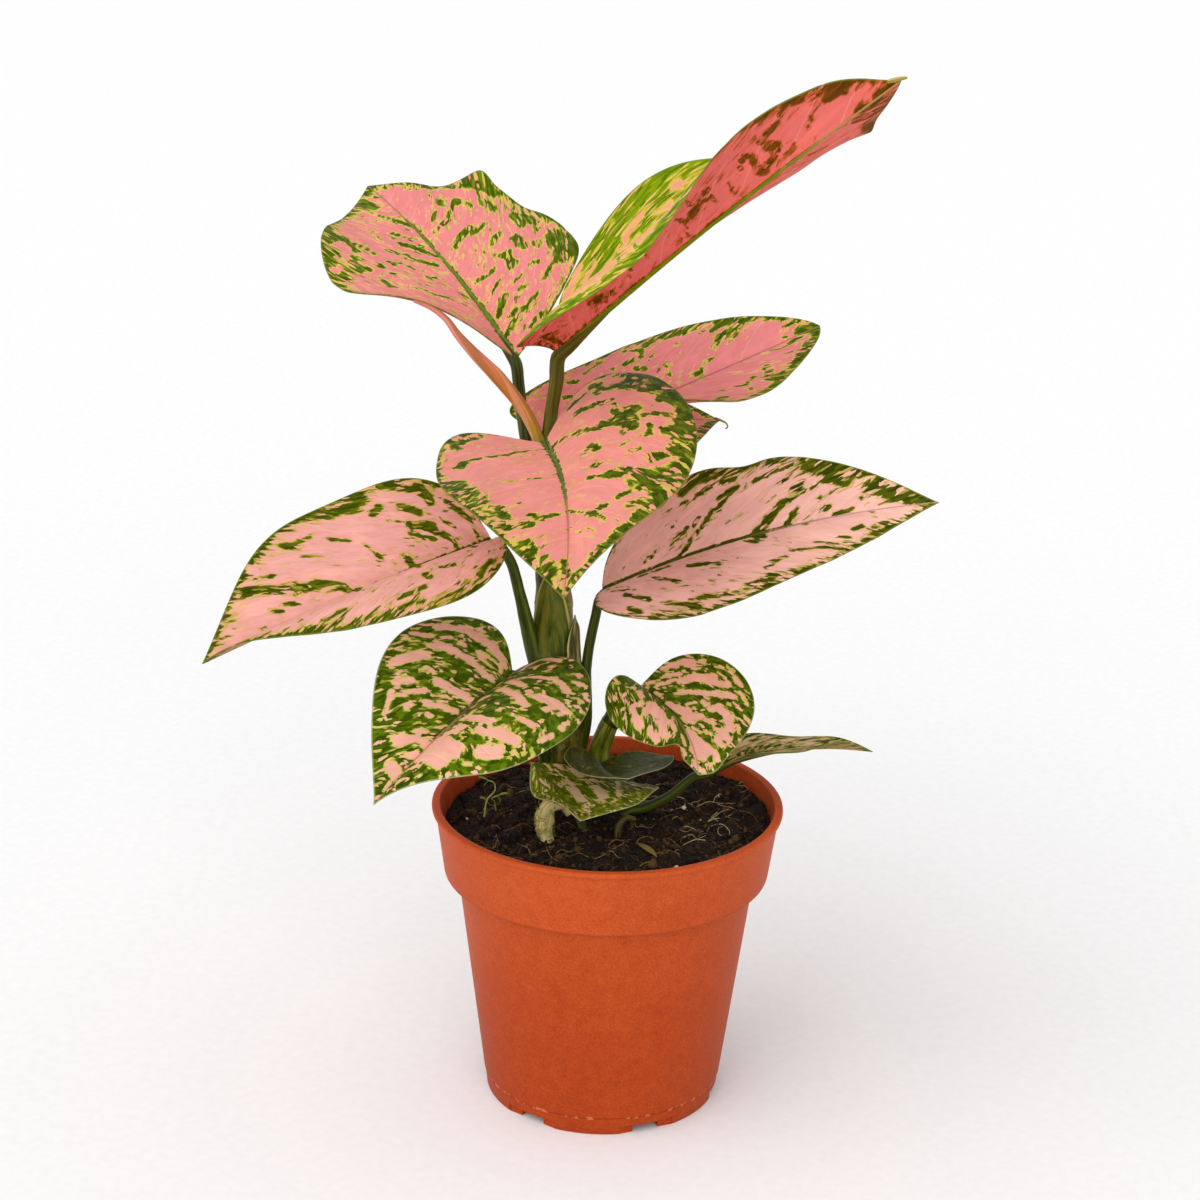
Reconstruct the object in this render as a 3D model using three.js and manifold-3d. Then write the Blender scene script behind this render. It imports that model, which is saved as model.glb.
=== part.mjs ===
// Potted Chinese evergreen (Aglaonema) with pink leaves, in a plastic nursery pot.
// Millimetres, +Z up. The origin is the centre of the pot's base, on the surface it stands on.
// Headings run from +X (the right of the front view) towards +Y (the back).
import * as THREE from 'three';
import { mergeVertices } from 'three/addons/utils/BufferGeometryUtils.js';
import Module from 'manifold-3d';

const wasm = await Module();
wasm.setup();

// ---- Driving dimensions -------------------------------------------------------------------

const GAP = 0.3; // clearance between two pieces that touch
const DEGREE = Math.PI / 180;

// The pot: a tapered body, a wider band above a step, and a small bead round the lip.
const POT_HEIGHT = 95.7;
const LIP_RADIUS = 54;
const LIP_HEIGHT = 1.7;
const BAND_TOP_RADIUS = 52.9;
const BAND_FOOT_RADIUS = 50.2;
const BAND_FOOT_Z = 74.2;
const BODY_TOP_RADIUS = 46;
const BASE_RADIUS = 36.5;
const MOULD_LINE_Z = 6; // a fine step runs round the body here
const WALL = 1.5;
const FLOOR_TOP_Z = 3.6;
const CHANNEL_TOP_Z = 2; // the drainage channel under the floor
const PAD_RADIUS = 15; // flat pad in the middle of the base
const FOOT_RING_INNER_RADIUS = 33.4;
const POT_SEGMENTS = 48;

// Slots in the outside of the foot ring, each with a drain hole behind its middle. The drain
// opens into the slot, the channel and the inside of the pot.
const SLOT_COUNT = 6;
const SLOT_FIRST_ANGLE = -67; // degrees from +X
const SLOT_WIDTH = 18;
const SLOT_HEIGHT = 2.9;
const SLOT_BACK_RADIUS = 34.9;
const DRAIN_WIDTH = 8.5;
const DRAIN_RADII = [31.5, 35.2];

// The soil fills the pot to a few millimetres below the lip and rises towards the back.
const SOIL_LEVEL = 88.6;
const SOIL_RISE_BACK = 0.035;
const SOIL_RISE_RIGHT = 0.02;
const SOIL_MOUND = 1.4;
const SOIL_MOUND_RADIUS = 20;
const SOIL_RINGS = 8;
const SOIL_SEGMENTS = 36;

// Stem bases go this far down into the soil.
const STEM_FOOT_Z = 80;

// Leaf blades: thickness, the rib under the midrib, and how finely they are divided.
const BLADE_THICKNESS = 0.8;
const RIB_DEPTH = 1.1;
const BLADE_ROWS = 13;
const BLADE_COLUMNS = [1, 0.7, 0.4, 0.1, 0, -0.1, -0.4, -0.7, -1]; // left edge to right edge
const LOBE_REACH = 0.12; // share of the length over which the heart lobes turn back
const VEIN_SWEEP = 0.45; // how far the side veins run forward from the midrib
const MIDRIB_STEPS = 40;

// Each leaf: the joint where its stalk meets the blade, its size, and how it is held.
//   size      length, half-width left and right of the midrib, seen from above along the heading
//   outline   lobe depth as a share of the length, fullness at the base and at the tip
//   aim       heading, pitch and roll at the joint, in degrees
//   bend      droop, swing and twist from joint to tip, in degrees
//   fold      how far the left and right halves are raised, and the change along the blade
//   curl      extra turn of the left and right halves from midrib to edge
//   wave      height and phase of the edge waves, left and right
//   stalk     radii and path, from the stem to the joint
const LEAVES = [
  {
    name: 'leaf_top_left', joint: [-30.5, 22.5, 229.5], size: [106, 39, 39], outline: [0, 0.75, 1],
    aim: [123, 30, 3], bend: [22, -4, -17], fold: [8, 26, -38], curl: [-3, -20],
    wave: [6, 65, 3, 15], color: 0xe59a92,
    stalk: {
      radii: [2.1, 1.5, 1.4],
      path: [[-20.5, 18, 184], [-24.3, 19.2, 196], [-26.9, 20, 204], [-29.4, 21.8, 222]],
    },
  },
  {
    name: 'leaf_top_right', joint: [-17.5, 11.5, 234.5], size: [141.5, 32, 32], outline: [0.07, 0.55, 0.95],
    aim: [-35, 42, 14], bend: [4, 4, -50], fold: [11, 49, -20], curl: [71, -105],
    wave: [-5.5, 70, 3.5, 20], color: 0xdc7b78,
    stalk: {
      radii: [2.6, 2, 1.9],
      path: [[-19.3, 16.5, 186], [-20.5, 14, 203], [-19.6, 12.8, 214], [-18, 11.9, 226]],
    },
  },
  {
    name: 'leaf_upper_right', joint: [-20.5, 29, 202.5], size: [101.5, 28, 27.5], outline: [0.12, 0.5, 0.75],
    aim: [32, 11, 0], bend: [-7, -4, 21], fold: [21, 14, -16], curl: [-22, 6],
    wave: [0.5, 60, 3.5, -75], color: 0xdf9691,
    stalk: { radii: [2.2, 1.7, 1.5], path: [[-18.5, 19.5, 168], [-19.5, 25, 184], [-20.8, 28, 195]] },
  },
  {
    name: 'leaf_back_right', joint: [-16, 32, 190.5], size: [72, 20, 20], outline: [0.12, 0.55, 1.1],
    aim: [46, 21, 17], bend: [35, -2, 9], fold: [13, 9, 4], curl: [-2, -4],
    wave: [0, 0, 0, 0], color: 0xdf9691,
    stalk: { radii: [2, 1.6, 1.3], path: [[-17.8, 20, 150], [-17, 27, 170], [-16.6, 30.6, 183]] },
  },
  {
    name: 'leaf_centre', joint: [-21, 1.5, 209.5], size: [99, 42.5, 35], outline: [0.31, 0.65, 1.15],
    aim: [-77, 1, 15], bend: [20, -17, -14], fold: [35, 11, 2], curl: [-51, -5],
    wave: [2.5, -65, -1.5, -80], color: 0xe8928c,
    stalk: { radii: [2.4, 1.8, 1.7], path: [[-18, 16, 164], [-18.6, 11, 182], [-20.2, 4.6, 200]] },
  },
  {
    name: 'leaf_mid_left', joint: [-36.5, 9.5, 176], size: [98.5, 29.5, 31.5], outline: [0.04, 0.6, 1],
    aim: [213, -9, 4], bend: [8, -1, 8], fold: [33, 45, -1], curl: [-91, 19],
    wave: [-1.5, 40, 2.5, 65], color: 0xe3a49c,
    stalk: {
      radii: [3.4, 2.6, 1.8, 1.6],
      path: [[-20, 16.5, 126], [-24.5, 14, 142.7], [-28.2, 11.7, 159], [-31, 10.2, 169.5]],
    },
  },
  {
    name: 'leaf_mid_right', joint: [-3, 16, 158.5], size: [110.5, 29, 28.5], outline: [0.04, 0.6, 1.1],
    aim: [-18, 31, 10], bend: [19, 0, 30], fold: [18, 11, -5], curl: [10, -35],
    wave: [0.5, -10, -1.5, -50], color: 0xe2a59c,
    stalk: {
      radii: [2.4, 1.9, 1.7, 1.6],
      path: [[-11, 18, 99], [-7.4, 17.8, 114], [-7.4, 17, 134.4], [-5, 16.2, 150]],
    },
  },
  {
    name: 'leaf_lower_left', joint: [-29.5, -0.5, 137.5], size: [83, 35, 29.5], outline: [0.22, 0.8, 1.2],
    aim: [-113, 0, 5], bend: [18, -7, -2], fold: [30, 46, -2], curl: [-95, 2],
    wave: [-2.5, 20, -1, 5], color: 0xb58f6d,
    stalk: { radii: [2.4, 1.8, 1.6], path: [[-17.5, 15, 101], [-22.6, 9, 115], [-27.6, 2.4, 130]] },
  },
  {
    name: 'leaf_lower_right', joint: [8.5, 11.5, 128.5], size: [48, 26, 24], outline: [0.09, 0.6, 1],
    aim: [-45, -7, -6], bend: [12, -44, 2], fold: [17, 47, -21], curl: [15, -110],
    wave: [0.5, 5, -1, 30], color: 0xb08c66,
    stalk: { radii: [2.2, 1.8, 1.5], path: [[0.4, 18.6, 114], [3, 16.6, 121], [6, 13.6, 126]] },
  },
  {
    name: 'leaf_low_right', joint: [31, 12, 101.5], size: [53.5, 11, 11], outline: [0.03, 0.55, 0.95],
    aim: [8, 22, 7], bend: [35, 2, -11], fold: [10, 27, 4], curl: [-4, 4],
    wave: [1.5, -35, 2, -10], color: 0xa8946f,
    stalk: {
      radii: [1.9, 1.7, 1.5, 1.4],
      path: [[1, 5, 82], [5.5, 5.2, 89.9], [11.7, 6, 91.2], [19, 8.4, 94], [27, 11, 99.8]],
    },
  },
  {
    name: 'leaf_low_front', joint: [-21.5, 6.5, 105], size: [44.5, 27, 14], outline: [0, 0.7, 0.7],
    aim: [-63, -17, -30], bend: [-32, -18, 13], fold: [28, 19, 4], curl: [-5, -10],
    wave: [-1, -45, 3, -100], color: 0x8f9a55,
    stalk: {
      radii: [1.5, 1.3, 1.1],
      path: [[-7.4, -8.2, 82], [-7.8, -7.4, 91], [-13, -1.6, 96.6], [-19.4, 4.6, 102.8]],
    },
  },
  {
    name: 'leaf_stem_base', joint: [-2.5, 8.5, 104.5], size: [32.5, 20, 15.5], outline: [0.13, 0.6, 0.75],
    aim: [-76, 4, -13], bend: [-20, 3, 15], fold: [22, 26, -22], curl: [-11, -27],
    wave: [-0.5, -15, -0.5, -10], color: 0x5f7a4a,
    stalk: { radii: [1.5, 1.3, 1.1], path: [[-3, 19, 96], [-3, 14.5, 99.5], [-2.8, 10.6, 103]] },
  },
];

// The newest leaf, still rolled into a thin spear beside the two top stalks.
const SPEAR_RADII = [1.7, 2.4, 2.9, 2.8, 2.2, 1.5, 0.7];
const SPEAR_PATH = [
  [-21.9, 12.2, 205], [-23.4, 10.2, 212], [-28, 10, 218], [-34.1, 10, 226], [-45, 11, 239],
  [-50.8, 12, 244.6], [-60, 13.6, 248],
];

// Stems. Each has a radius for each point of its path.
const MAIN_STEM = {
  radii: [7.6, 7.5, 7, 6.6, 5.4, 4.5, 4.1, 3.4],
  path: [
    [-14.8, 18, STEM_FOOT_Z], [-14.8, 18, 104], [-16.6, 18, 126], [-17.6, 18, 138], [-17.9, 18, 152],
    [-17.8, 18, 167], [-18.8, 17.6, 184], [-20, 17, 196],
  ],
};
const SIDE_SHOOT = {
  radii: [3.7, 3.6, 3.4, 2.9],
  path: [[-3, 20.4, STEM_FOOT_Z], [-3.2, 20.2, 102], [-1.4, 19.8, 109], [0.6, 18.4, 115]],
};
// What is left of an older stalk, bent over at the front of the plant.
const OLD_STUB = {
  radii: [2.3, 2.4, 2.8, 2.6, 2],
  path: [[-17.4, -10, 82], [-19.2, -9.4, 92.5], [-17.4, -8.6, 97.6], [-13.4, -7.8, 98], [-10.9, -8.4, 95.2]],
};
const HOOK_SHOOT = {
  radii: [1.4, 1.3, 1.1, 0.8],
  path: [[4, -8, 82], [3.7, -7.4, 90.6], [5.6, -6.4, 92.8], [8.6, -5.4, 91.9]],
};

// Sheaths that wrap the main stem: foot and tip heights, the side they face, and their half-width.
const SHEATHS = [
  { name: 'green_sheath', foot: 112, tip: 162, facing: -78, halfAngle: 62, layer: 0, color: 0x5d6b22 },
  { name: 'dry_sheath', foot: 124, tip: 150, facing: -30, halfAngle: 34, layer: 1, color: 0x8a7048 },
];
const SHEATH_THICKNESS = 0.7;
const SHEATH_ROWS = 9;
const SHEATH_COLUMNS = 8;

// ---- Solids and meshes --------------------------------------------------------------------

function toSolid(geometry) {
  const bare = new THREE.BufferGeometry();
  bare.setAttribute('position', geometry.getAttribute('position').clone());
  bare.setIndex(geometry.getIndex());
  const merged = mergeVertices(bare, 1e-4);
  const mesh = new wasm.Mesh({
    numProp: 3,
    vertProperties: new Float32Array(merged.getAttribute('position').array),
    triVerts: new Uint32Array(merged.getIndex().array),
  });
  return new wasm.Manifold(mesh);
}

function toGeometry(solid) {
  const mesh = solid.getMesh();
  const geometry = new THREE.BufferGeometry();
  geometry.setAttribute('position', new THREE.BufferAttribute(mesh.vertProperties, 3));
  geometry.setIndex(new THREE.BufferAttribute(mesh.triVerts, 1));
  geometry.computeVertexNormals();
  return geometry;
}

// Of the pieces that a cut leaves, the one with the largest volume is the part.
function largestPiece(solid) {
  const pieces = solid.decompose();
  pieces.sort((a, b) => b.volume() - a.volume());
  return pieces[0];
}

function cutBy(solid, cutters) {
  const left = cutters.reduce((rest, cutter) => rest.subtract(cutter), solid);
  return largestPiece(left);
}

function geometryOf(vertices, triangles) {
  const geometry = new THREE.BufferGeometry();
  const numbers = vertices.flatMap((point) => [point.x, point.y, point.z]);
  geometry.setAttribute('position', new THREE.Float32BufferAttribute(numbers, 3));
  geometry.setIndex(triangles.flat());
  geometry.computeVertexNormals();
  return geometry;
}

function valueAlong(list, t) {
  const place = t * (list.length - 1);
  const low = Math.min(Math.floor(place), list.length - 2);
  return THREE.MathUtils.lerp(list[low], list[low + 1], place - low);
}

// A round limb along a smooth path, thicker by `grow` all over, with closed ends.
function limb({ path, radii }, { sides = 8, steps = 10, grow = 0 } = {}) {
  const points = path.map((place) => new THREE.Vector3(...place));
  if (grow > 0) {
    const back = points[0].clone().sub(points[1]).setLength(grow);
    const ahead = points.at(-1).clone().sub(points.at(-2)).setLength(grow);
    points[0].add(back);
    points.at(-1).add(ahead);
  }
  const curve = new THREE.CatmullRomCurve3(points, false, 'centripetal');
  const frames = curve.computeFrenetFrames(steps, false);
  const vertices = [];
  const triangles = [];
  for (let i = 0; i <= steps; i++) {
    const centre = curve.getPointAt(i / steps);
    const radius = valueAlong(radii, i / steps) + grow;
    for (let k = 0; k < sides; k++) {
      const angle = (2 * Math.PI * k) / sides;
      const vertex = centre.clone();
      vertex.addScaledVector(frames.normals[i], radius * Math.cos(angle));
      vertex.addScaledVector(frames.binormals[i], radius * Math.sin(angle));
      vertices.push(vertex);
    }
  }
  for (let i = 0; i < steps; i++) {
    for (let k = 0; k < sides; k++) {
      const a = i * sides + k;
      const b = i * sides + ((k + 1) % sides);
      triangles.push([a, b, b + sides], [a, b + sides, a + sides]);
    }
  }
  const last = steps * sides;
  for (let k = 1; k < sides - 1; k++) {
    triangles.push([0, k + 1, k], [last, last + k, last + k + 1]);
  }
  return toSolid(geometryOf(vertices, triangles));
}

// A thin body between two sheets of points with the same triangles. The first and last row of each
// sheet are one point, and the rows between them hold every column.
function sheetBody(topRows, bottomRows) {
  const rows = topRows.length;
  const columns = topRows[1].length;
  const vertices = [];
  const triangles = [];
  const indexOf = [topRows, bottomRows].map((sheet) =>
    sheet.map((row) =>
      row.map((point) => {
        vertices.push(point);
        return vertices.length - 1;
      }),
    ),
  );
  const at = (face, i, j) => indexOf[face][i][topRows[i].length === 1 ? 0 : j];
  const addFace = (a, b, c, face) => {
    if (a !== b && b !== c && a !== c) {
      triangles.push(face === 0 ? [a, b, c] : [a, c, b]);
    }
  };
  for (let face = 0; face < 2; face++) {
    for (let i = 0; i < rows - 1; i++) {
      for (let j = 0; j < columns - 1; j++) {
        const corner = [at(face, i, j), at(face, i + 1, j), at(face, i + 1, j + 1), at(face, i, j + 1)];
        addFace(corner[0], corner[3], corner[2], face);
        addFace(corner[0], corner[2], corner[1], face);
      }
    }
  }
  for (let i = 0; i < rows - 1; i++) {
    for (const [j, flip] of [[0, false], [columns - 1, true]]) {
      const [a, b] = [at(0, i, j), at(0, i + 1, j)];
      const [c, d] = [at(1, i, j), at(1, i + 1, j)];
      triangles.push(flip ? [a, d, b] : [a, b, d], flip ? [a, c, d] : [a, d, c]);
    }
  }
  return toSolid(geometryOf(vertices, triangles));
}

// ---- Leaf blades --------------------------------------------------------------------------

// The midrib: places and axes from the joint to the tip. Forward, left and up turn together.
function midribOf(leaf) {
  const [length] = leaf.size;
  const [heading0, pitch0, roll0] = leaf.aim;
  const [droop, swing, twist] = leaf.bend;
  const stations = [];
  const place = new THREE.Vector3(...leaf.joint);
  for (let i = 0; i <= MIDRIB_STEPS; i++) {
    const t = i / MIDRIB_STEPS;
    const heading = (heading0 + swing * t) * DEGREE;
    const pitch = (pitch0 - droop * t) * DEGREE;
    const roll = (roll0 + twist * t) * DEGREE;
    const forward = new THREE.Vector3(
      Math.cos(pitch) * Math.cos(heading),
      Math.cos(pitch) * Math.sin(heading),
      Math.sin(pitch),
    );
    const level = new THREE.Vector3(-Math.sin(heading), Math.cos(heading), 0);
    const upright = forward.clone().cross(level);
    const left = level.clone().multiplyScalar(Math.cos(roll)).addScaledVector(upright, Math.sin(roll));
    const up = upright.clone().multiplyScalar(Math.cos(roll)).addScaledVector(level, -Math.sin(roll));
    if (i > 0) {
      const previous = stations[i - 1].forward;
      place.addScaledVector(previous.clone().add(forward), length / MIDRIB_STEPS / 2);
    }
    stations.push({ place: place.clone(), forward, left, up });
  }
  return stations;
}

function stationAt(stations, t) {
  const clamped = THREE.MathUtils.clamp(t, 0, 1);
  const low = Math.min(Math.floor(clamped * MIDRIB_STEPS), MIDRIB_STEPS - 1);
  const share = clamped * MIDRIB_STEPS - low;
  const mixed = {};
  for (const key of ['place', 'forward', 'left', 'up']) {
    mixed[key] = stations[low][key].clone().lerp(stations[low + 1][key], share);
  }
  return mixed;
}

// A point of the blade and the direction of its upper face. u runs from joint to tip along the
// edge, and v from the left edge (1) over the midrib (0) to the right edge (-1).
function bladePoint(leaf, stations, u, v) {
  const [length, leftWidth, rightWidth] = leaf.size;
  const [lobe, baseFullness, tipFullness] = leaf.outline;
  const side = v >= 0 ? 1 : -1;
  const across = Math.abs(v);
  const halfWidth = side > 0 ? leftWidth : rightWidth;
  const fold = (side > 0 ? leaf.fold[0] : leaf.fold[1]) + leaf.fold[2] * (u - 0.5);
  const curl = side > 0 ? leaf.curl[0] : leaf.curl[1];
  const [waveHeight, wavePhase] = side > 0 ? leaf.wave.slice(0, 2) : leaf.wave.slice(2);

  const widest = baseFullness / (baseFullness + tipFullness);
  const peak = widest ** baseFullness * (1 - widest) ** tipFullness;
  const width = (u ** baseFullness * (1 - u) ** tipFullness) / peak;
  const edge = u - lobe * (u / LOBE_REACH) * Math.exp(1 - u / LOBE_REACH);
  const veinFoot = u - VEIN_SWEEP * u * (1 - u);
  const along = veinFoot + (edge - veinFoot) * across ** 1.3;

  // The half blade is an arc that starts at the fold angle and turns by the curl.
  const arc = halfWidth * width * across;
  const halfTurn = (curl * DEGREE * width * across) / 2;
  const chord = Math.abs(halfTurn) < 1e-6 ? arc : (arc * Math.sin(halfTurn)) / halfTurn;
  const chordAngle = fold * DEGREE + halfTurn;
  const wave = waveHeight * Math.sin(3 * Math.PI * u + wavePhase * DEGREE) * across ** 2 * 4 * u * (1 - u);
  const sideways = chord * Math.cos(chordAngle);
  const raised = chord * Math.sin(chordAngle) + wave;

  const station = stationAt(stations, along);
  const beyond = (along - THREE.MathUtils.clamp(along, 0, 1)) * length;
  const point = station.place.clone().addScaledVector(station.forward, beyond);
  point.addScaledVector(station.left, side * sideways).addScaledVector(station.up, raised);
  const faceAngle = across === 0 ? 0 : fold * DEGREE + 2 * halfTurn;
  const normal = station.up.clone().multiplyScalar(Math.cos(faceAngle));
  normal.addScaledVector(station.left, -side * Math.sin(faceAngle)).normalize();
  return { point, normal };
}

function blade(leaf, grow = 0) {
  const stations = midribOf(leaf);
  const half = BLADE_THICKNESS / 2 + grow;
  const top = [];
  const bottom = [];
  for (let i = 0; i <= BLADE_ROWS; i++) {
    const u = (i / BLADE_ROWS) ** 1.45;
    const columns = i === 0 || i === BLADE_ROWS ? [0] : BLADE_COLUMNS;
    const topRow = [];
    const bottomRow = [];
    for (const v of columns) {
      const { point, normal } = bladePoint(leaf, stations, u, v);
      const rib = v === 0 && i < BLADE_ROWS ? RIB_DEPTH * (1 - u) : 0;
      topRow.push(point.clone().addScaledVector(normal, half));
      bottomRow.push(point.clone().addScaledVector(normal, -half - rib));
    }
    top.push(topRow);
    bottom.push(bottomRow);
  }
  return sheetBody(top, bottom);
}

// The stalk runs from the stem to just behind and below the joint of its blade.
function stalkOf(leaf) {
  const [first] = midribOf(leaf);
  const end = first.place.clone();
  end.addScaledVector(first.forward, -1.2).addScaledVector(first.up, -1.1);
  return { radii: leaf.stalk.radii, path: [...leaf.stalk.path, end.toArray()] };
}

// ---- Sheaths ------------------------------------------------------------------------------

// The share of a rising curve's length at which it passes a height.
function shareAtHeight(curve, z) {
  let [low, high] = [0, 1];
  for (let step = 0; step < 20; step++) {
    const middle = (low + high) / 2;
    if (curve.getPointAt(middle).z < z) {
      low = middle;
    } else {
      high = middle;
    }
  }
  return low;
}

function sheath({ foot, tip, facing, halfAngle, layer }) {
  const points = MAIN_STEM.path.map((place) => new THREE.Vector3(...place));
  const curve = new THREE.CatmullRomCurve3(points, false, 'centripetal');
  const facet = Math.cos((halfAngle / SHEATH_COLUMNS) * DEGREE);
  const inner = [];
  const outer = [];
  for (let i = 0; i <= SHEATH_ROWS; i++) {
    const share = i / SHEATH_ROWS;
    const t = shareAtHeight(curve, THREE.MathUtils.lerp(foot, tip, share));
    const centre = curve.getPointAt(t);
    const stemRadius = valueAlong(MAIN_STEM.radii, t) + (layer + 1) * (GAP + 0.1);
    const radius = (stemRadius + layer * SHEATH_THICKNESS) / facet;
    const spread = halfAngle * Math.sin(Math.PI * share) ** 0.6;
    const innerRow = [];
    const outerRow = [];
    const columns = i === 0 || i === SHEATH_ROWS ? 1 : SHEATH_COLUMNS + 1;
    for (let j = 0; j < columns; j++) {
      const across = columns === 1 ? 0 : 1 - (2 * j) / SHEATH_COLUMNS;
      const angle = (facing - spread * across) * DEGREE;
      const outward = new THREE.Vector3(Math.cos(angle), Math.sin(angle), 0);
      innerRow.push(centre.clone().addScaledVector(outward, radius));
      outerRow.push(centre.clone().addScaledVector(outward, radius + SHEATH_THICKNESS));
    }
    inner.push(innerRow);
    outer.push(outerRow);
  }
  return sheetBody(outer, inner);
}

// ---- Pot and soil -------------------------------------------------------------------------

function lathe(profile, segments) {
  return toSolid(new THREE.LatheGeometry(profile.map(([r, z]) => new THREE.Vector2(r, z)), segments)
    .rotateX(Math.PI / 2));
}

function bodyRadius(z) {
  return THREE.MathUtils.lerp(BASE_RADIUS, BODY_TOP_RADIUS, z / (BAND_FOOT_Z - 0.8));
}

function pot() {
  const lipFoot = POT_HEIGHT - LIP_HEIGHT;
  const profile = [
    [0, 0],
    [PAD_RADIUS, 0],
    [PAD_RADIUS + 1, CHANNEL_TOP_Z],
    [FOOT_RING_INNER_RADIUS - 0.4, CHANNEL_TOP_Z],
    [FOOT_RING_INNER_RADIUS, 0],
    [BASE_RADIUS - 0.4, 0],
    [BASE_RADIUS - 0.1, 0.5],
    [bodyRadius(MOULD_LINE_Z) - 0.3, MOULD_LINE_Z],
    [bodyRadius(MOULD_LINE_Z), MOULD_LINE_Z + 0.2],
    [BODY_TOP_RADIUS, BAND_FOOT_Z - 0.8],
    [BAND_FOOT_RADIUS - 0.6, BAND_FOOT_Z - 0.2],
    [BAND_FOOT_RADIUS, BAND_FOOT_Z + 0.4],
    [BAND_TOP_RADIUS, lipFoot],
    [LIP_RADIUS - 0.3, lipFoot + 0.1],
    [LIP_RADIUS, lipFoot + 0.5],
    [LIP_RADIUS, POT_HEIGHT - 0.4],
    [LIP_RADIUS - 0.4, POT_HEIGHT],
    [BAND_TOP_RADIUS - WALL + 0.5, POT_HEIGHT],
    [BAND_TOP_RADIUS - WALL, POT_HEIGHT - 0.5],
    [BAND_FOOT_RADIUS - WALL, BAND_FOOT_Z + 1.8],
    [BODY_TOP_RADIUS - WALL, BAND_FOOT_Z + 0.6],
    [bodyRadius(FLOOR_TOP_Z) - WALL, FLOOR_TOP_Z],
    [0, FLOOR_TOP_Z],
  ];
  let solid = lathe(profile, POT_SEGMENTS);
  for (let k = 0; k < SLOT_COUNT; k++) {
    const angle = (SLOT_FIRST_ANGLE + (360 / SLOT_COUNT) * k) * DEGREE;
    const cuts = [
      { width: SLOT_WIDTH, top: SLOT_HEIGHT, radii: [SLOT_BACK_RADIUS, BASE_RADIUS + 2] },
      { width: DRAIN_WIDTH, top: FLOOR_TOP_Z + 1, radii: DRAIN_RADII },
    ];
    for (const { width, top, radii: [inner, outer] } of cuts) {
      const box = new THREE.BoxGeometry(outer - inner, width, 2 * top);
      box.translate((inner + outer) / 2, 0, 0).rotateZ(angle);
      solid = solid.subtract(toSolid(box));
    }
  }
  return solid;
}

function soilHeight(x, y) {
  const [stemX, stemY] = MAIN_STEM.path[0];
  const fromStem = Math.hypot(x - stemX, y - stemY) / SOIL_MOUND_RADIUS;
  const ripple = 0.5 * Math.sin(0.31 * x + 1.3) * Math.cos(0.27 * y - 0.4)
    + 0.35 * Math.sin(0.62 * x - 0.51 * y + 2.1);
  const mound = SOIL_MOUND * Math.exp(-(fromStem ** 2));
  return SOIL_LEVEL + SOIL_RISE_BACK * y + SOIL_RISE_RIGHT * x + mound + ripple;
}

// The soil's side follows the inside of the pot, and its top is an uneven surface.
function soil() {
  const innerTop = (z) => THREE.MathUtils.mapLinear(
    z, BAND_FOOT_Z + 1.8, POT_HEIGHT - 0.5, BAND_FOOT_RADIUS - WALL, BAND_TOP_RADIUS - WALL);
  const clearance = GAP + 0.15;
  const rim = innerTop(SOIL_LEVEL) - clearance - 0.2;
  const side = [
    [bodyRadius(FLOOR_TOP_Z) - WALL - clearance, FLOOR_TOP_Z + GAP],
    [BODY_TOP_RADIUS - WALL - clearance, BAND_FOOT_Z + 0.9],
    [BAND_FOOT_RADIUS - WALL - clearance, BAND_FOOT_Z + 2.1],
  ];
  const vertices = [new THREE.Vector3(0, 0, FLOOR_TOP_Z + GAP)];
  const triangles = [];
  const ring = (radius, heightAt) => {
    const start = vertices.length;
    for (let k = 0; k < SOIL_SEGMENTS; k++) {
      const angle = (2 * Math.PI * k) / SOIL_SEGMENTS;
      const [x, y] = [radius * Math.cos(angle), radius * Math.sin(angle)];
      vertices.push(new THREE.Vector3(x, y, heightAt(x, y)));
    }
    return start;
  };
  const rings = side.map(([radius, z]) => ring(radius, () => z));
  rings.push(ring(rim, soilHeight));
  for (let i = 1; i < SOIL_RINGS; i++) {
    rings.push(ring(rim * (1 - i / SOIL_RINGS), soilHeight));
  }
  const apex = vertices.length;
  vertices.push(new THREE.Vector3(0, 0, soilHeight(0, 0)));
  for (let k = 0; k < SOIL_SEGMENTS; k++) {
    const next = (k + 1) % SOIL_SEGMENTS;
    triangles.push([0, rings[0] + next, rings[0] + k]);
    triangles.push([apex, rings.at(-1) + k, rings.at(-1) + next]);
    for (let i = 0; i < rings.length - 1; i++) {
      const [a, b] = [rings[i] + k, rings[i] + next];
      const [c, d] = [rings[i + 1] + k, rings[i + 1] + next];
      triangles.push([a, b, d], [a, d, c]);
    }
  }
  return toSolid(geometryOf(vertices, triangles));
}

// ---- Assembly -----------------------------------------------------------------------------

const plant = new THREE.Group();

function addNode(name, solid, color, roughness) {
  const material = new THREE.MeshStandardMaterial({ color, roughness, metalness: 0 });
  const mesh = new THREE.Mesh(toGeometry(solid), material);
  mesh.name = name;
  plant.add(mesh);
}

const GREEN = 0x4f6a22;
const DARK_GREEN = 0x3f4f1c;
const BLADE_ROUGHNESS = 0.45;
const STEM_ROUGHNESS = 0.55;

addNode('pot', pot(), 0xc2552f, 0.6);

// Blades keep their whole form, stems come next, and each stalk is cut clear of all before it.
const bladeShells = [];
for (const leaf of LEAVES) {
  addNode(`${leaf.name}_blade`, blade(leaf), leaf.color, BLADE_ROUGHNESS);
  bladeShells.push(blade(leaf, GAP));
}

// `taken` holds the limbs placed so far, grown by the gap, and `inSoil` those that stand in soil.
const taken = [];
const inSoil = [];

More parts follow.
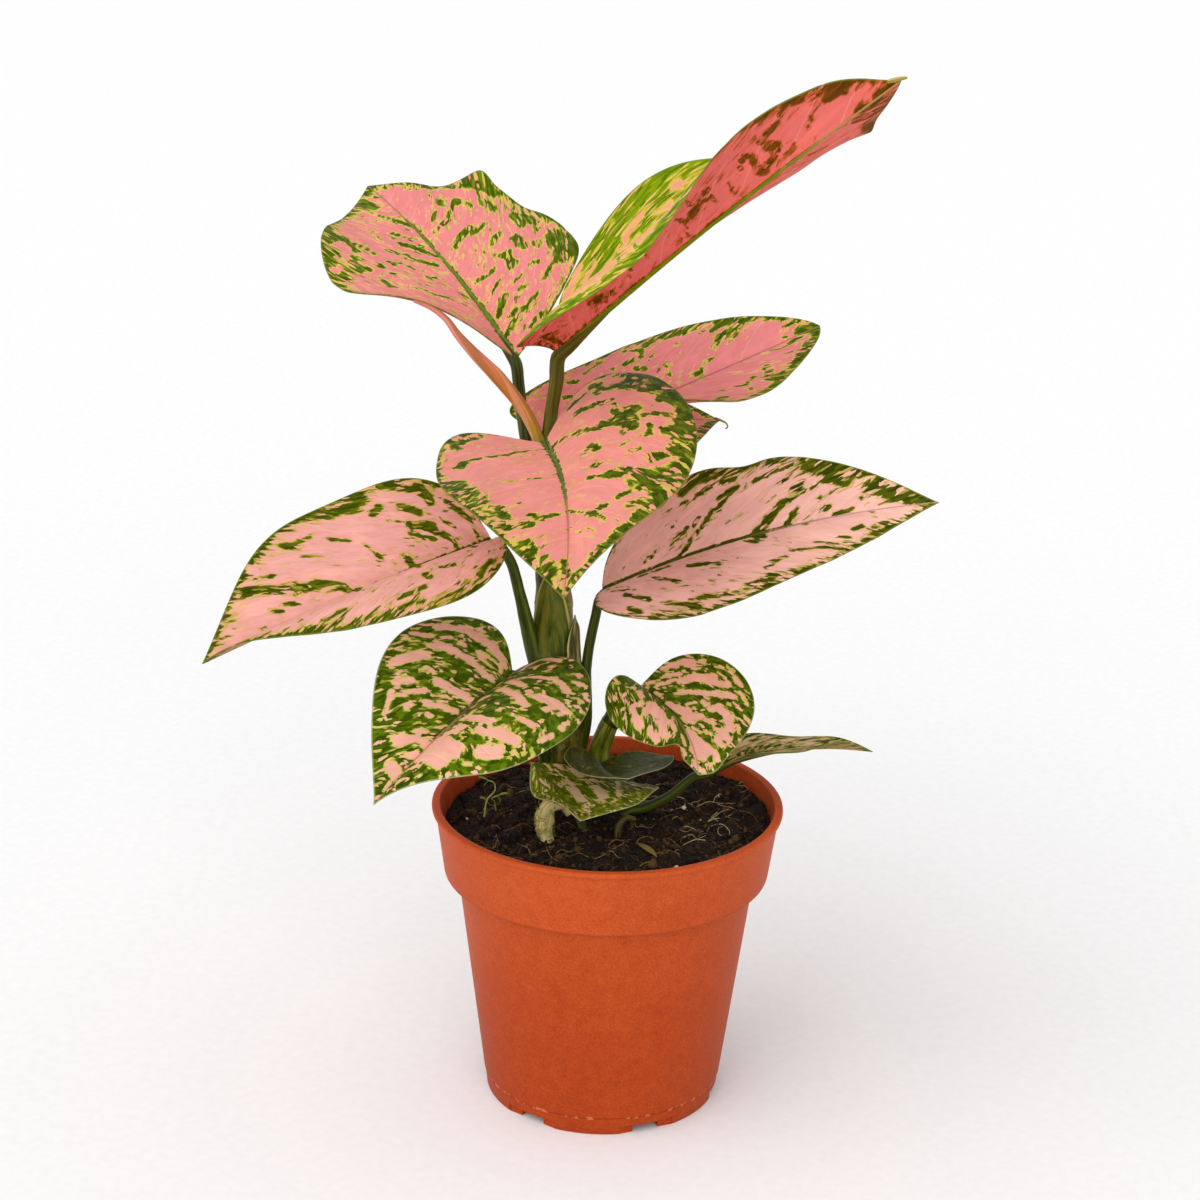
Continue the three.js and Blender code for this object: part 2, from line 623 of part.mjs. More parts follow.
function addLimb(name, shape, color, options) {
  const whole = limb(shape, options);
  addNode(name, cutBy(whole, [...bladeShells, ...taken]), color, STEM_ROUGHNESS);
  const grown = limb(shape, { ...options, grow: GAP });
  taken.push(grown);
  if (shape.path[0][2] < SOIL_LEVEL - 3) {
    inSoil.push(grown);
  }
}

addLimb('main_stem', MAIN_STEM, GREEN, { sides: 14, steps: 14 });
addLimb('side_shoot', SIDE_SHOOT, GREEN, { sides: 10, steps: 6 });
addLimb('old_stub', OLD_STUB, 0xa39062, { sides: 9, steps: 9 });
addLimb('hook_shoot', HOOK_SHOOT, GREEN, { sides: 7, steps: 6 });
for (const leaf of LEAVES) {
  addLimb(`${leaf.name}_stalk`, stalkOf(leaf), DARK_GREEN, { sides: 8, steps: 8 });
}
addLimb('spear_leaf', { radii: SPEAR_RADII, path: SPEAR_PATH }, 0xd07f5e, { sides: 9, steps: 14 });

// The sheaths already stand clear of the main stem that they wrap, so only the other limbs cut them.
const [, ...otherLimbs] = taken;
for (const shape of SHEATHS) {
  addNode(shape.name, cutBy(sheath(shape), otherLimbs), shape.color, STEM_ROUGHNESS);
}
addNode('soil', cutBy(soil(), inSoil), 0x2a1d15, 0.95);

export default plant;
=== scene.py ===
import math
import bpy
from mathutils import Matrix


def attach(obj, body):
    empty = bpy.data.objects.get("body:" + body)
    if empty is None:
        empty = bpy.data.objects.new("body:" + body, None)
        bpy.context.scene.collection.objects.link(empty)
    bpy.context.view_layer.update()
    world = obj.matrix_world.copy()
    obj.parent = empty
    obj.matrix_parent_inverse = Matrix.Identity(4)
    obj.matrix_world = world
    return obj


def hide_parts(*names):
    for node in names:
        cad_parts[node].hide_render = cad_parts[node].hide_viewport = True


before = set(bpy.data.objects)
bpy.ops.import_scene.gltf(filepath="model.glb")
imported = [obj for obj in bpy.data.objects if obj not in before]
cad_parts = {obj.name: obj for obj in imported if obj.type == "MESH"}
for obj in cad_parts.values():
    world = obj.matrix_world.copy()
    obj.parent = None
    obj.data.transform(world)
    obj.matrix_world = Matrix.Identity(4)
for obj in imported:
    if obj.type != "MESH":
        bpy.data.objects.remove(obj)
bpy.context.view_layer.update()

from types import SimpleNamespace

import bpy
import bmesh
import numpy as np
from mathutils import Matrix, Vector

MM = 0.001
DEG = math.pi / 180
TURN = 2 * math.pi

# ---- Colours and noise --------------------------------------------------------------------


def rgb(text):
    """Linear colour of a hex sRGB colour."""
    parts = [int(text[i : i + 2], 16) / 255 for i in (0, 2, 4)]
    return tuple(c / 12.92 if c <= 0.04045 else ((c + 0.055) / 1.055) ** 2.4 for c in parts)


def lattice(i, j, k, seed):
    """A pseudo-random number from 0 to 1 for each whole-numbered place."""
    h = (i * 73856093) ^ (j * 19349663) ^ (k * 83492791) ^ (seed * 40503 + 977)
    h = h & 0x7FFFFFFF
    h = ((h ^ (h >> 13)) * 1274126177) & 0x7FFFFFFF
    h = ((h ^ (h >> 15)) * 1103515245) & 0x7FFFFFFF
    return (h ^ (h >> 12)) / 0x7FFFFFFF


def noise(points, seed):
    """Smooth value noise from -1 to 1 at an array of points."""
    points = np.asarray(points, float)
    base = np.floor(points).astype(np.int64)
    f = points - base
    f = f * f * (3 - 2 * f)
    total = 0.0
    for corner in range(8):
        o = np.array([corner & 1, (corner >> 1) & 1, (corner >> 2) & 1])
        c = base + o
        weight = np.prod(np.where(o == 1, f, 1 - f), axis=-1)
        total = total + weight * lattice(c[..., 0], c[..., 1], c[..., 2], seed)
    return 2 * total - 1


def fractal(points, octaves, seed):
    """Layers of noise, each half as high and half as wide as the one before."""
    total = 0.0
    for octave in range(octaves):
        total = total + 0.5**octave * noise(points * 2**octave + 17.3 * octave, seed + octave)
    return total


# ---- Materials ----------------------------------------------------------------------------


class Paint:
    """A node material built step by step. The methods take sockets, numbers and colours (hex
    text or linear numbers) and return output sockets; use and finish return the material."""

    def __init__(self, name, **constants):
        self.material = bpy.data.materials.new(name)
        self.material.use_nodes = True
        self.tree = self.material.node_tree
        self.tree.nodes.clear()
        self.shader = self.tree.nodes.new("ShaderNodeBsdfPrincipled")
        out = self.tree.nodes.new("ShaderNodeOutputMaterial")
        self.tree.links.new(self.shader.outputs[0], out.inputs["Surface"])
        self.use(**constants)

    def put(self, socket, value):
        if isinstance(value, str):
            value = rgb(value)
        if isinstance(value, bpy.types.NodeSocket):
            self.tree.links.new(value, socket)
        elif isinstance(value, tuple) and len(value) == 3 and socket.type == "RGBA":
            socket.default_value = (*value, 1)
        else:
            socket.default_value = value

    def add(self, kind, inputs=(), out=0, **settings):
        node = self.tree.nodes.new("ShaderNode" + kind)
        for key, value in settings.items():
            setattr(node, key, value)
        for key, value in dict(inputs).items():
            self.put(node.inputs[key], value)
        return node.outputs[out]

    def attribute(self, name, out="Fac"):
        return self.add("Attribute", out=out, attribute_name=name)

    def parts(self, vector):
        return self.add("SeparateXYZ", {0: vector}).node.outputs

    def join(self, x, y, z):
        return self.add("CombineXYZ", {0: x, 1: y, 2: z})

    def math(self, op, a, b=0.0, c=0.0):
        return self.add("Math", {0: a, 1: b, 2: c}, operation=op)

    def times(self, a, b, plus=None):
        return self.math("MULTIPLY", a, b) if plus is None else self.math("MULTIPLY_ADD", a, b, plus)

    def centred(self, value, gain, plus):
        """A value round 0.5 becomes one round plus, with its changes multiplied by gain."""
        return self.times(self.math("SUBTRACT", value, 0.5), gain, plus)

    def remap(self, value, a, b, c=0.0, d=1.0):
        inputs = {0: value, 1: a, 2: b, 3: c, 4: d}
        return self.add("MapRange", inputs, interpolation_type="SMOOTHSTEP")

    def mix(self, share, a, b, blend="MIX"):
        inputs = {0: share, 6: a, 7: b}
        return self.add("Mix", inputs, out=2, data_type="RGBA", blend_type=blend, clamp_factor=True)

    def noise(self, vector, scale, detail=2.0, rough=0.5):
        inputs = {"Vector": vector, "Scale": scale, "Detail": detail, "Roughness": rough}
        return self.add("TexNoise", inputs)

    def cells(self, vector, scale, out="Distance", sides="3D"):
        return self.add("TexVoronoi", {"Vector": vector, "Scale": scale}, out, voronoi_dimensions=sides)

    def ramp(self, value, places, colors):
        socket = self.add("ValToRGB", {0: value})
        marks = socket.node.color_ramp.elements
        marks[0].position, marks[1].position = places[0], places[-1]
        for place in places[1:-1]:
            marks.new(place)
        for mark, color in zip(marks, colors):
            mark.color = (*(rgb(color) if isinstance(color, str) else color), 1)
        return socket

    def place(self):
        return self.add("TexCoord", out="Object")

    def around(self, turn, radius, z):
        """A place on a cylinder, so that a pattern round a limb has no seam. turn is 0 to 1."""
        angle = self.times(turn, TURN)
        x, y = (self.times(self.math(part, angle), radius) for part in ("COSINE", "SINE"))
        return self.join(x, y, z)

    def use(self, **sockets):
        for key, value in sockets.items():
            self.put(self.shader.inputs[key.replace("_", " ")], value)
        return self.material

    def finish(self, color, rough, height, strength, distance):
        """The material with its colour and roughness, and a height as a bump."""
        bump = self.add("Bump", {"Height": height, "Strength": strength, "Distance": distance})
        return self.use(Base_Color=color, Roughness=rough, Normal=bump)


# ---- Meshes -------------------------------------------------------------------------------


def new_mesh(name, points, faces):
    """A mesh from points in millimetres."""
    mesh = bpy.data.meshes.new(name)
    mesh.from_pydata((np.asarray(points) * MM).tolist(), [], [list(map(int, f)) for f in faces])
    return mesh


def new_object(name, data):
    made = bpy.data.objects.new(name, data)
    bpy.context.scene.collection.objects.link(made)
    return made


def add_piece(name, form, material, slot, node=None):
    """A form (points, faces, and fields of the points) becomes a piece on the one body."""
    points, faces, fields = form
    mesh = new_mesh(name, points, faces)
    mesh.validate()
    for key, values in fields.items():
        values = np.asarray(values, np.float32)
        kind, target = ("FLOAT_VECTOR", "vector") if values.ndim == 2 else ("FLOAT", "value")
        mesh.attributes.new(key, kind, "POINT").data.foreach_set(target, values.ravel())
    mesh.polygons.foreach_set("use_smooth", np.ones(len(mesh.polygons), bool))
    mesh.materials.append(material)
    piece = new_object(name, mesh)
    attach(piece, "root")
    if node:
        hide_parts(node)
    return piece


def smooth_path(points, count):
    """Centripetal Catmull-Rom curve through the points, in equal steps of length."""
    points = np.asarray(points, float)
    points = np.vstack([2 * points[0] - points[1], points, 2 * points[-1] - points[-2]])
    fine = []
    for i in range(1, len(points) - 2):
        p = points[i - 1 : i + 3]
        d = np.maximum(np.sqrt(np.linalg.norm(np.diff(p, axis=0), axis=1)), 1e-4)
        t1 = (p[1] - p[0]) / d[0] - (p[2] - p[0]) / (d[0] + d[1]) + (p[2] - p[1]) / d[1]
        t2 = (p[2] - p[1]) / d[1] - (p[3] - p[1]) / (d[1] + d[2]) + (p[3] - p[2]) / d[2]
        t1, t2 = t1 * d[1], t2 * d[1]
        for t in np.linspace(0, 1, 40, endpoint=False):
            h = [2 * t**3 - 3 * t**2 + 1, t**3 - 2 * t**2 + t, -2 * t**3 + 3 * t**2, t**3 - t**2]
            fine.append(h[0] * p[1] + h[1] * t1 + h[2] * p[2] + h[3] * t2)
    fine = np.array(fine + [points[-2]])
    run = np.concatenate([[0], np.cumsum(np.linalg.norm(np.diff(fine, axis=0), axis=1))])
    at = np.linspace(0, run[-1], count)
    return np.stack([np.interp(at, run, fine[:, k]) for k in range(3)], -1), run[-1]


def frames_along(path, up=None):
    """Side and top directions along a path, turning as little as possible."""
    tangents = np.gradient(path, axis=0)
    tangents /= np.linalg.norm(tangents, axis=1)[:, None]
    guide = np.array(up if up is not None else ([0, 1.0, 0] if abs(tangents[0][2]) > 0.7 else [0, 0, 1.0]))
    tops = []
    for tangent in tangents:
        top = guide - tangent * (guide @ tangent)
        guide = top / np.linalg.norm(top)
        tops.append(guide)
    tops = np.array(tops)
    return np.cross(tangents, tops), tops


def circle(count):
    """Angles round a circle, and their x and y."""
    angle = np.linspace(0, TURN, count, endpoint=False)
    return angle, np.cos(angle), np.sin(angle)


def closed_rings(rows, first, last):
    """Points and faces over rings of points, with a point at either end that closes them."""
    count, sides = rows.shape[:2]
    head, tail = count * sides, (count - 1) * sides
    faces = []
    for k in range(sides):
        n = (k + 1) % sides
        faces += [(a + k, a + n, a + sides + n, a + sides + k) for a in range(0, tail, sides)]
        faces += [(head, n, k), (head + 1, tail + k, tail + n)]
    return np.vstack([rows.reshape(-1, 3), [first, last]]), faces


def level_ring(radius, height, sides):
    """A ring of points round the pot's axis. The height is a number or a function of x and y."""
    _, x, y = circle(sides)
    x, y = radius * x, radius * y
    return np.stack([x, y, height(x, y) if callable(height) else height + 0 * x], -1)


def sheet_faces(ids):
    """Faces of a thin closed sheet. ids numbers the points of its front, which are a grid. Those
    of its back follow in the same order."""
    half = ids.max() + 1
    back = np.stack([ids[:-1, :-1], ids[:-1, 1:], ids[1:, 1:], ids[1:, :-1]], -1).reshape(-1, 4)
    loop = [*ids[0], *ids[1:, -1], *ids[-1, -2::-1], *ids[-2:0:-1, 0]]
    rim = [(a, b, half + b, half + a) for a, b in zip(loop, loop[1:] + loop[:1])]
    faces = [list(dict.fromkeys(face)) for face in [*back[:, ::-1].tolist(), *(half + back).tolist(), *rim]]
    return [face for face in faces if len(face) > 2]


def closed_sheet(front, back):
    """Points and faces of a thin closed sheet between two grids of points."""
    ids = np.arange(front[..., 0].size).reshape(front.shape[:2])
    return np.vstack([front.reshape(-1, 3), back.reshape(-1, 3)]), sheet_faces(ids)


def tube(path_points, radii, sides, steps, up=None, shape=None):
    """A limb with closed ends. shape(t, angle, place) multiplies its radius."""
    path, length = smooth_path(path_points, steps + 1)
    t = np.linspace(0, 1, steps + 1)
    radius = np.interp(t, np.linspace(0, 1, len(radii)), radii)[:, None]
    side, top = frames_along(path, up)
    angle, x, y = circle(sides)
    ring = side[:, None] * x[None, :, None] + top[:, None] * y[None, :, None]
    if shape is not None:
        radius = radius * shape(t[:, None], angle[None, :], path[:, None] + ring * radius[..., None])
    ends = [path[0] - (path[1] - path[0]) * 0.3, path[-1] + (path[-1] - path[-2]) * 0.3]
    points, faces = closed_rings(path[:, None] + ring * radius[..., None], *ends)
    share = np.repeat(t, sides)
    limb = np.stack([share, np.tile(angle / TURN, steps + 1), share * length], -1)
    return points, faces, {"limb": np.vstack([limb, [[0, 0, 0], [1, 0, length]]])}


def merge(parts):
    """Several (points, faces, fields) as one."""
    faces, start = [], 0
    for p, f, _ in parts:
        faces += [tuple(i + start for i in face) for face in f]
        start += len(p)
    fields = {key: np.concatenate([part[2][key] for part in parts]) for key in parts[0][2]}
    return np.vstack([part[0] for part in parts]), faces, fields


# ---- The plant's dimensions, in millimetres -----------------------------------------------

STEM_FOOT = 80

# Each leaf: joint, size (length, half-width left and right), outline (lobe, base and tip
# fullness), aim (heading, pitch, roll), bend (droop, swing, twist), fold, curl, edge waves, and
# the stalk's radii and path.
LEAVES = {
    "leaf_top_left": dict(
        joint=(-30.5, 22.5, 229.5), size=(106, 39, 39), outline=(0, 0.75, 1), aim=(123, 30, 3),
        bend=(22, -4, -17), fold=(8, 26, -38), curl=(-3, -20), wave=(6, 65, 3, 15),
        radii=(2.1, 1.5, 1.4), path=[(-20.5, 18, 184), (-24.3, 19.2, 196), (-26.9, 20, 204), (-29.4, 21.8, 222)],
    ),
    "leaf_top_right": dict(
        joint=(-17.5, 11.5, 234.5), size=(141.5, 32, 32), outline=(0.07, 0.55, 0.95), aim=(-35, 42, 14),
        bend=(4, 4, -50), fold=(11, 49, -20), curl=(71, -105), wave=(-5.5, 70, 3.5, 20),
        radii=(2.6, 2, 1.9), path=[(-19.3, 16.5, 186), (-20.5, 14, 203), (-19.6, 12.8, 214), (-18, 11.9, 226)],
    ),
    "leaf_upper_right": dict(
        joint=(-20.5, 29, 202.5), size=(101.5, 28, 27.5), outline=(0.12, 0.5, 0.75), aim=(32, 11, 0),
        bend=(-7, -4, 21), fold=(21, 14, -16), curl=(-22, 6), wave=(0.5, 60, 3.5, -75),
        radii=(2.2, 1.7, 1.5), path=[(-18.5, 19.5, 168), (-19.5, 25, 184), (-20.8, 28, 195)],
    ),
    "leaf_back_right": dict(
        joint=(-16, 32, 190.5), size=(72, 20, 20), outline=(0.12, 0.55, 1.1), aim=(46, 21, 17),
        bend=(35, -2, 9), fold=(13, 9, 4), curl=(-2, -4), wave=(0, 0, 0, 0),
        radii=(2, 1.6, 1.3), path=[(-17.8, 20, 150), (-17, 27, 170), (-16.6, 30.6, 183)],
    ),
    "leaf_centre": dict(
        joint=(-21, 1.5, 209.5), size=(99, 42.5, 35), outline=(0.31, 0.65, 1.15), aim=(-77, 1, 15),
        bend=(20, -17, -14), fold=(35, 11, 2), curl=(-51, -5), wave=(2.5, -65, -1.5, -80),
        radii=(2.4, 1.8, 1.7), path=[(-18, 16, 164), (-18.6, 11, 182), (-20.2, 4.6, 200)],
    ),
    "leaf_mid_left": dict(
        joint=(-36.5, 9.5, 176), size=(98.5, 29.5, 31.5), outline=(0.04, 0.6, 1), aim=(213, -9, 4),
        bend=(8, -1, 8), fold=(33, 45, -1), curl=(-91, 19), wave=(-1.5, 40, 2.5, 65),
        radii=(3.4, 2.6, 1.8, 1.6), path=[(-20, 16.5, 126), (-24.5, 14, 142.7), (-28.2, 11.7, 159), (-31, 10.2, 169.5)],
    ),
    "leaf_mid_right": dict(
        joint=(-3, 16, 158.5), size=(110.5, 29, 28.5), outline=(0.04, 0.6, 1.1), aim=(-18, 31, 10),
        bend=(19, 0, 30), fold=(18, 11, -5), curl=(10, -35), wave=(0.5, -10, -1.5, -50),
        radii=(2.4, 1.9, 1.7, 1.6), path=[(-11, 18, 99), (-7.4, 17.8, 114), (-7.4, 17, 134.4), (-5, 16.2, 150)],
    ),
    "leaf_lower_left": dict(
        joint=(-29.5, -0.5, 137.5), size=(83, 35, 29.5), outline=(0.22, 0.8, 1.2), aim=(-113, 0, 5),
        bend=(18, -7, -2), fold=(30, 46, -2), curl=(-95, 2), wave=(-2.5, 20, -1, 5),
        radii=(2.4, 1.8, 1.6), path=[(-17.5, 15, 101), (-22.6, 9, 115), (-27.6, 2.4, 130)],
    ),
    "leaf_lower_right": dict(
        joint=(8.5, 11.5, 128.5), size=(48, 26, 24), outline=(0.09, 0.6, 1), aim=(-45, -7, -6),
        bend=(12, -44, 2), fold=(17, 47, -21), curl=(15, -110), wave=(0.5, 5, -1, 30),
        radii=(2.2, 1.8, 1.5), path=[(0.4, 18.6, 114), (3, 16.6, 121), (6, 13.6, 126)],
    ),
    "leaf_low_right": dict(
        joint=(31, 12, 101.5), size=(53.5, 11, 11), outline=(0.03, 0.55, 0.95), aim=(8, 22, 7),
        bend=(35, 2, -11), fold=(10, 27, 4), curl=(-4, 4), wave=(1.5, -35, 2, -10),
        radii=(1.9, 1.7, 1.5, 1.4), path=[(1, 5, 82), (5.5, 5.2, 89.9), (11.7, 6, 91.2), (19, 8.4, 94), (27, 11, 99.8)],
    ),
    "leaf_low_front": dict(
        joint=(-21.5, 6.5, 105), size=(44.5, 27, 14), outline=(0, 0.7, 0.7), aim=(-63, -17, -30),
        bend=(-32, -18, 13), fold=(28, 19, 4), curl=(-5, -10), wave=(-1, -45, 3, -100),
        radii=(1.5, 1.3, 1.1), path=[(-7.4, -8.2, 82), (-7.8, -7.4, 91), (-13, -1.6, 96.6), (-19.4, 4.6, 102.8)],
    ),
    "leaf_stem_base": dict(
        joint=(-2.5, 8.5, 104.5), size=(32.5, 20, 15.5), outline=(0.13, 0.6, 0.75), aim=(-76, 4, -13),
        bend=(-20, 3, 15), fold=(22, 26, -22), curl=(-11, -27), wave=(-0.5, -15, -0.5, -10),
        radii=(1.5, 1.3, 1.1), path=[(-3, 19, 96), (-3, 14.5, 99.5), (-2.8, 10.6, 103)],
    ),
}

MAIN_STEM = dict(
    radii=(7.6, 7.5, 7.1, 6.8, 6.1, 5.3, 4.3, 3.4),
    path=[(-14.8, 18, STEM_FOOT), (-14.8, 18, 104), (-16.6, 18, 126), (-17.4, 18, 138),
          (-17.8, 18, 152), (-18.3, 18, 167), (-19, 17.6, 184), (-20, 17, 196)],
)
SIDE_SHOOT = dict(
    radii=(3.7, 3.6, 3.4, 2.9), path=[(-3, 20.4, STEM_FOOT), (-3.2, 20.2, 102), (-1.4, 19.8, 109), (0.6, 18.4, 115)],
)
OLD_STUB = dict(
    radii=(2.3, 2.4, 2.8, 2.6, 2),
    path=[(-17.4, -10, 82), (-19.2, -9.4, 92.5), (-17.4, -8.6, 97.6), (-13.4, -7.8, 98), (-10.9, -8.4, 95.2)],
)
HOOK_SHOOT = dict(
    radii=(1.4, 1.3, 1.1, 0.8), path=[(4, -8, 82), (3.7, -7.4, 90.6), (5.6, -6.4, 92.8), (8.6, -5.4, 91.9)],
)
SPEAR = dict(
    radii=(1.8, 1.9, 1.95, 2.15, 1.75, 1.2, 0.85, 0.5),
    path=[(-21.9, 12.2, 205), (-27.2, 11.2, 216), (-34.6, 10.5, 225.8), (-42.4, 10.5, 233.8), (-47.4, 11, 239.3),
          (-50.7, 11.5, 243.7), (-55.1, 12, 246.8), (-60.2, 13, 248.6)],
)

# ---- Leaf blades --------------------------------------------------------------------------

ROWS = 140
COLUMNS = 30  # on each side of the midrib
NEAR_RIB = np.array([0.35, 0.75, 1.2, 1.8, 2.6])  # the first columns, in millimetres from it
BLADE_STEPS = 40  # along the middle line of a blade
SIDE_VEINS = 9
RIB_HEIGHT, GROOVE_DEPTH, GROOVE_WIDTH = 1.15, 0.18, 0.8
HALF_BLADE, HALF_RIM = 0.22, 0.13  # half the thickness, inside and at the edge

# Local changes of an edge: side, u, reach in u, outward and upward millimetres.
EDGES = {
    "leaf_top_left": [(-1, 0.6, 0.075, 0, -2.6), (-1, 0.84, 0.055, 0, -3), (-1, 0.735, 0.035, 1, 3.2),
                      (-1, 0.22, 0.08, 2, -0.5)],
    "leaf_top_right": [(1, 0.75, 0.05, 0, 2.4), (1, 0.8, 0.06, 2.2, 0), (1, 0.84, 0.025, 0.8, -1.8),
                       (-1, 0.9, 0.06, 2.4, 0)],
    "leaf_mid_right": [(1, 0.46, 0.07, -1.6, -1)],
    "leaf_lower_right": [(-1, 0.86, 0.04, -2, 3.2), (1, 0.93, 0.05, 0.5, -2.4)],
    "leaf_low_front": [(1, 0.585, 0.05, 1.7, 0.5)],
}


def by_side(v, pair):
    """The first number where v is on the left half, the second where it is on the right."""
    return np.where(v >= 0, pair[0], pair[1])


class Blade:
    """The surface of one leaf: points and directions for u from joint to tip and v from the
    left edge (1) over the midrib (0) to the right edge (-1)."""

    def __init__(self, name, leaf):
        self.leaf, self.edges = leaf, EDGES.get(name, ())
        self.length, *self.halves = leaf["size"]
        self.t = t = np.linspace(0, 1, BLADE_STEPS + 1)
        heading, pitch, roll = leaf["aim"]
        droop, swing, twist = leaf["bend"]
        h, p, r = (heading + swing * t) * DEG, (pitch - droop * t) * DEG, (roll + twist * t) * DEG
        forward = np.stack([np.cos(p) * np.cos(h), np.cos(p) * np.sin(h), np.sin(p)], -1)
        level = np.stack([-np.sin(h), np.cos(h), 0 * h], -1)
        upright = np.cross(forward, level)
        left = np.cos(r)[:, None] * level + np.sin(r)[:, None] * upright
        top = np.cos(r)[:, None] * upright - np.sin(r)[:, None] * level
        steps = np.cumsum((forward[1:] + forward[:-1]) / 2 * self.length / BLADE_STEPS, axis=0)
        self.tables = leaf["joint"] + np.vstack([np.zeros(3), steps]), forward, left, top

    def station(self, t):
        t = np.clip(t, 0, 1)
        return [np.stack([np.interp(t, self.t, table[:, k]) for k in range(3)], -1) for table in self.tables]

    def edge_change(self, u, v, which):
        """Local changes of the edge in millimetres: outward (3) or upward (4)."""
        total = 0.0 * u
        for change in self.edges:
            near = np.exp(-(((u - change[1]) / change[2]) ** 2)) * (np.sign(v) == change[0])
            total = total + change[which] * near
        return total

    def width(self, u, v):
        _, a, b = self.leaf["outline"]
        widest = a / (a + b)
        width = by_side(v, self.halves) * u**a * (1 - u) ** b / (widest**a * (1 - widest) ** b)
        return np.maximum(width + self.edge_change(u, v, 3) * np.clip(20 * (1 - u), 0, 1), 0.3 * width)

    def at(self, u, v):
        leaf, across, side = self.leaf, np.abs(v), by_side(v, (1.0, -1.0))
        width = self.width(u, v)
        fold = (by_side(v, leaf["fold"]) + leaf["fold"][2] * (u - 0.5)) * DEG
        half_turn = by_side(v, leaf["curl"]) * DEG * width / by_side(v, self.halves) * across / 2
        edge = u - leaf["outline"][0] * (u / 0.12) * np.exp(1 - u / 0.12)
        foot = u - 0.45 * u * (1 - u)
        along = foot + (edge - foot) * across**1.3
        chord = width * across * np.sinc(half_turn / math.pi)
        height, phase = by_side(v, leaf["wave"][::2]), by_side(v, leaf["wave"][1::2]) * DEG
        raised = chord * np.sin(fold + half_turn)
        raised = raised + height * np.sin(3 * math.pi * u + phase) * across**2 * 4 * u * (1 - u)
        raised = raised + self.edge_change(u, v, 4) * across**3
        place, forward, left, top = self.station(along)
        beyond = (along - np.clip(along, 0, 1)) * self.length
        point = place + forward * beyond[..., None]
        point = point + left * (side * chord * np.cos(fold + half_turn))[..., None] + top * raised[..., None]
        turn = np.where(across < 1e-9, 0, fold + 2 * half_turn)
        normal = top * np.cos(turn)[..., None] - left * (side * np.sin(turn))[..., None]
        return point, normal / np.linalg.norm(normal, axis=-1)[..., None]

    def columns(self, u):
        """v of every column in a row, from the left edge to the right edge."""
        halves = []
        first = len(NEAR_RIB)
        for side in (1, -1):
            width = np.maximum(self.width(u, np.full_like(u, side)), 1e-6)
            k = np.arange(1, COLUMNS + 1)
            near = np.minimum(NEAR_RIB / width[:, None], k[:first] / COLUMNS)
            far = 1 - (1 - (k[first:] - first) / (COLUMNS - first)) ** 1.35
            halves.append(side * np.hstack([near, near[:, -1:] + (1 - near[:, -1:]) * far]))
        return np.hstack([halves[0][:, ::-1], np.zeros((len(u), 1)), halves[1]])


def vein_slopes(leaf, style):
    """How far a side vein runs forward per millimetre from the midrib: at the midrib and how fast
    that grows, each for the left and right half."""
    halves = leaf["size"][1:]
    return [pair[0] for pair in style.lean], [pair[1] / (2 * half) for pair, half in zip(style.lean, halves)]


def stroke_bias(name, blade, style, s, d):
    """How much pinker or greener the strokes of a leaf make each place. Each is a soft line."""
    pinker, greener = np.zeros_like(s), np.zeros_like(s)
    spot = np.stack([s, d], -1)
    for *ends, wide, strength in np.array(STROKES.get(name, "").split(), float).reshape(-1, 6):
        start, stop = [
            np.array([u * blade.length, v * blade.width(np.array(u), np.array(v))])
            for u, v in np.reshape(ends, (2, 2)) / 500
        ]
        line = stop - start
        share = np.clip(((spot - start) @ line) / max(line @ line, 1e-6), 0, 1)
        away = np.linalg.norm(spot - start - share[..., None] * line, axis=-1)
        field = strength / 20 * np.exp(-((away / (style.breadth * wide / 10)) ** 3))
        pinker, greener = np.maximum(pinker, field), np.minimum(greener, field)
    return pinker + greener


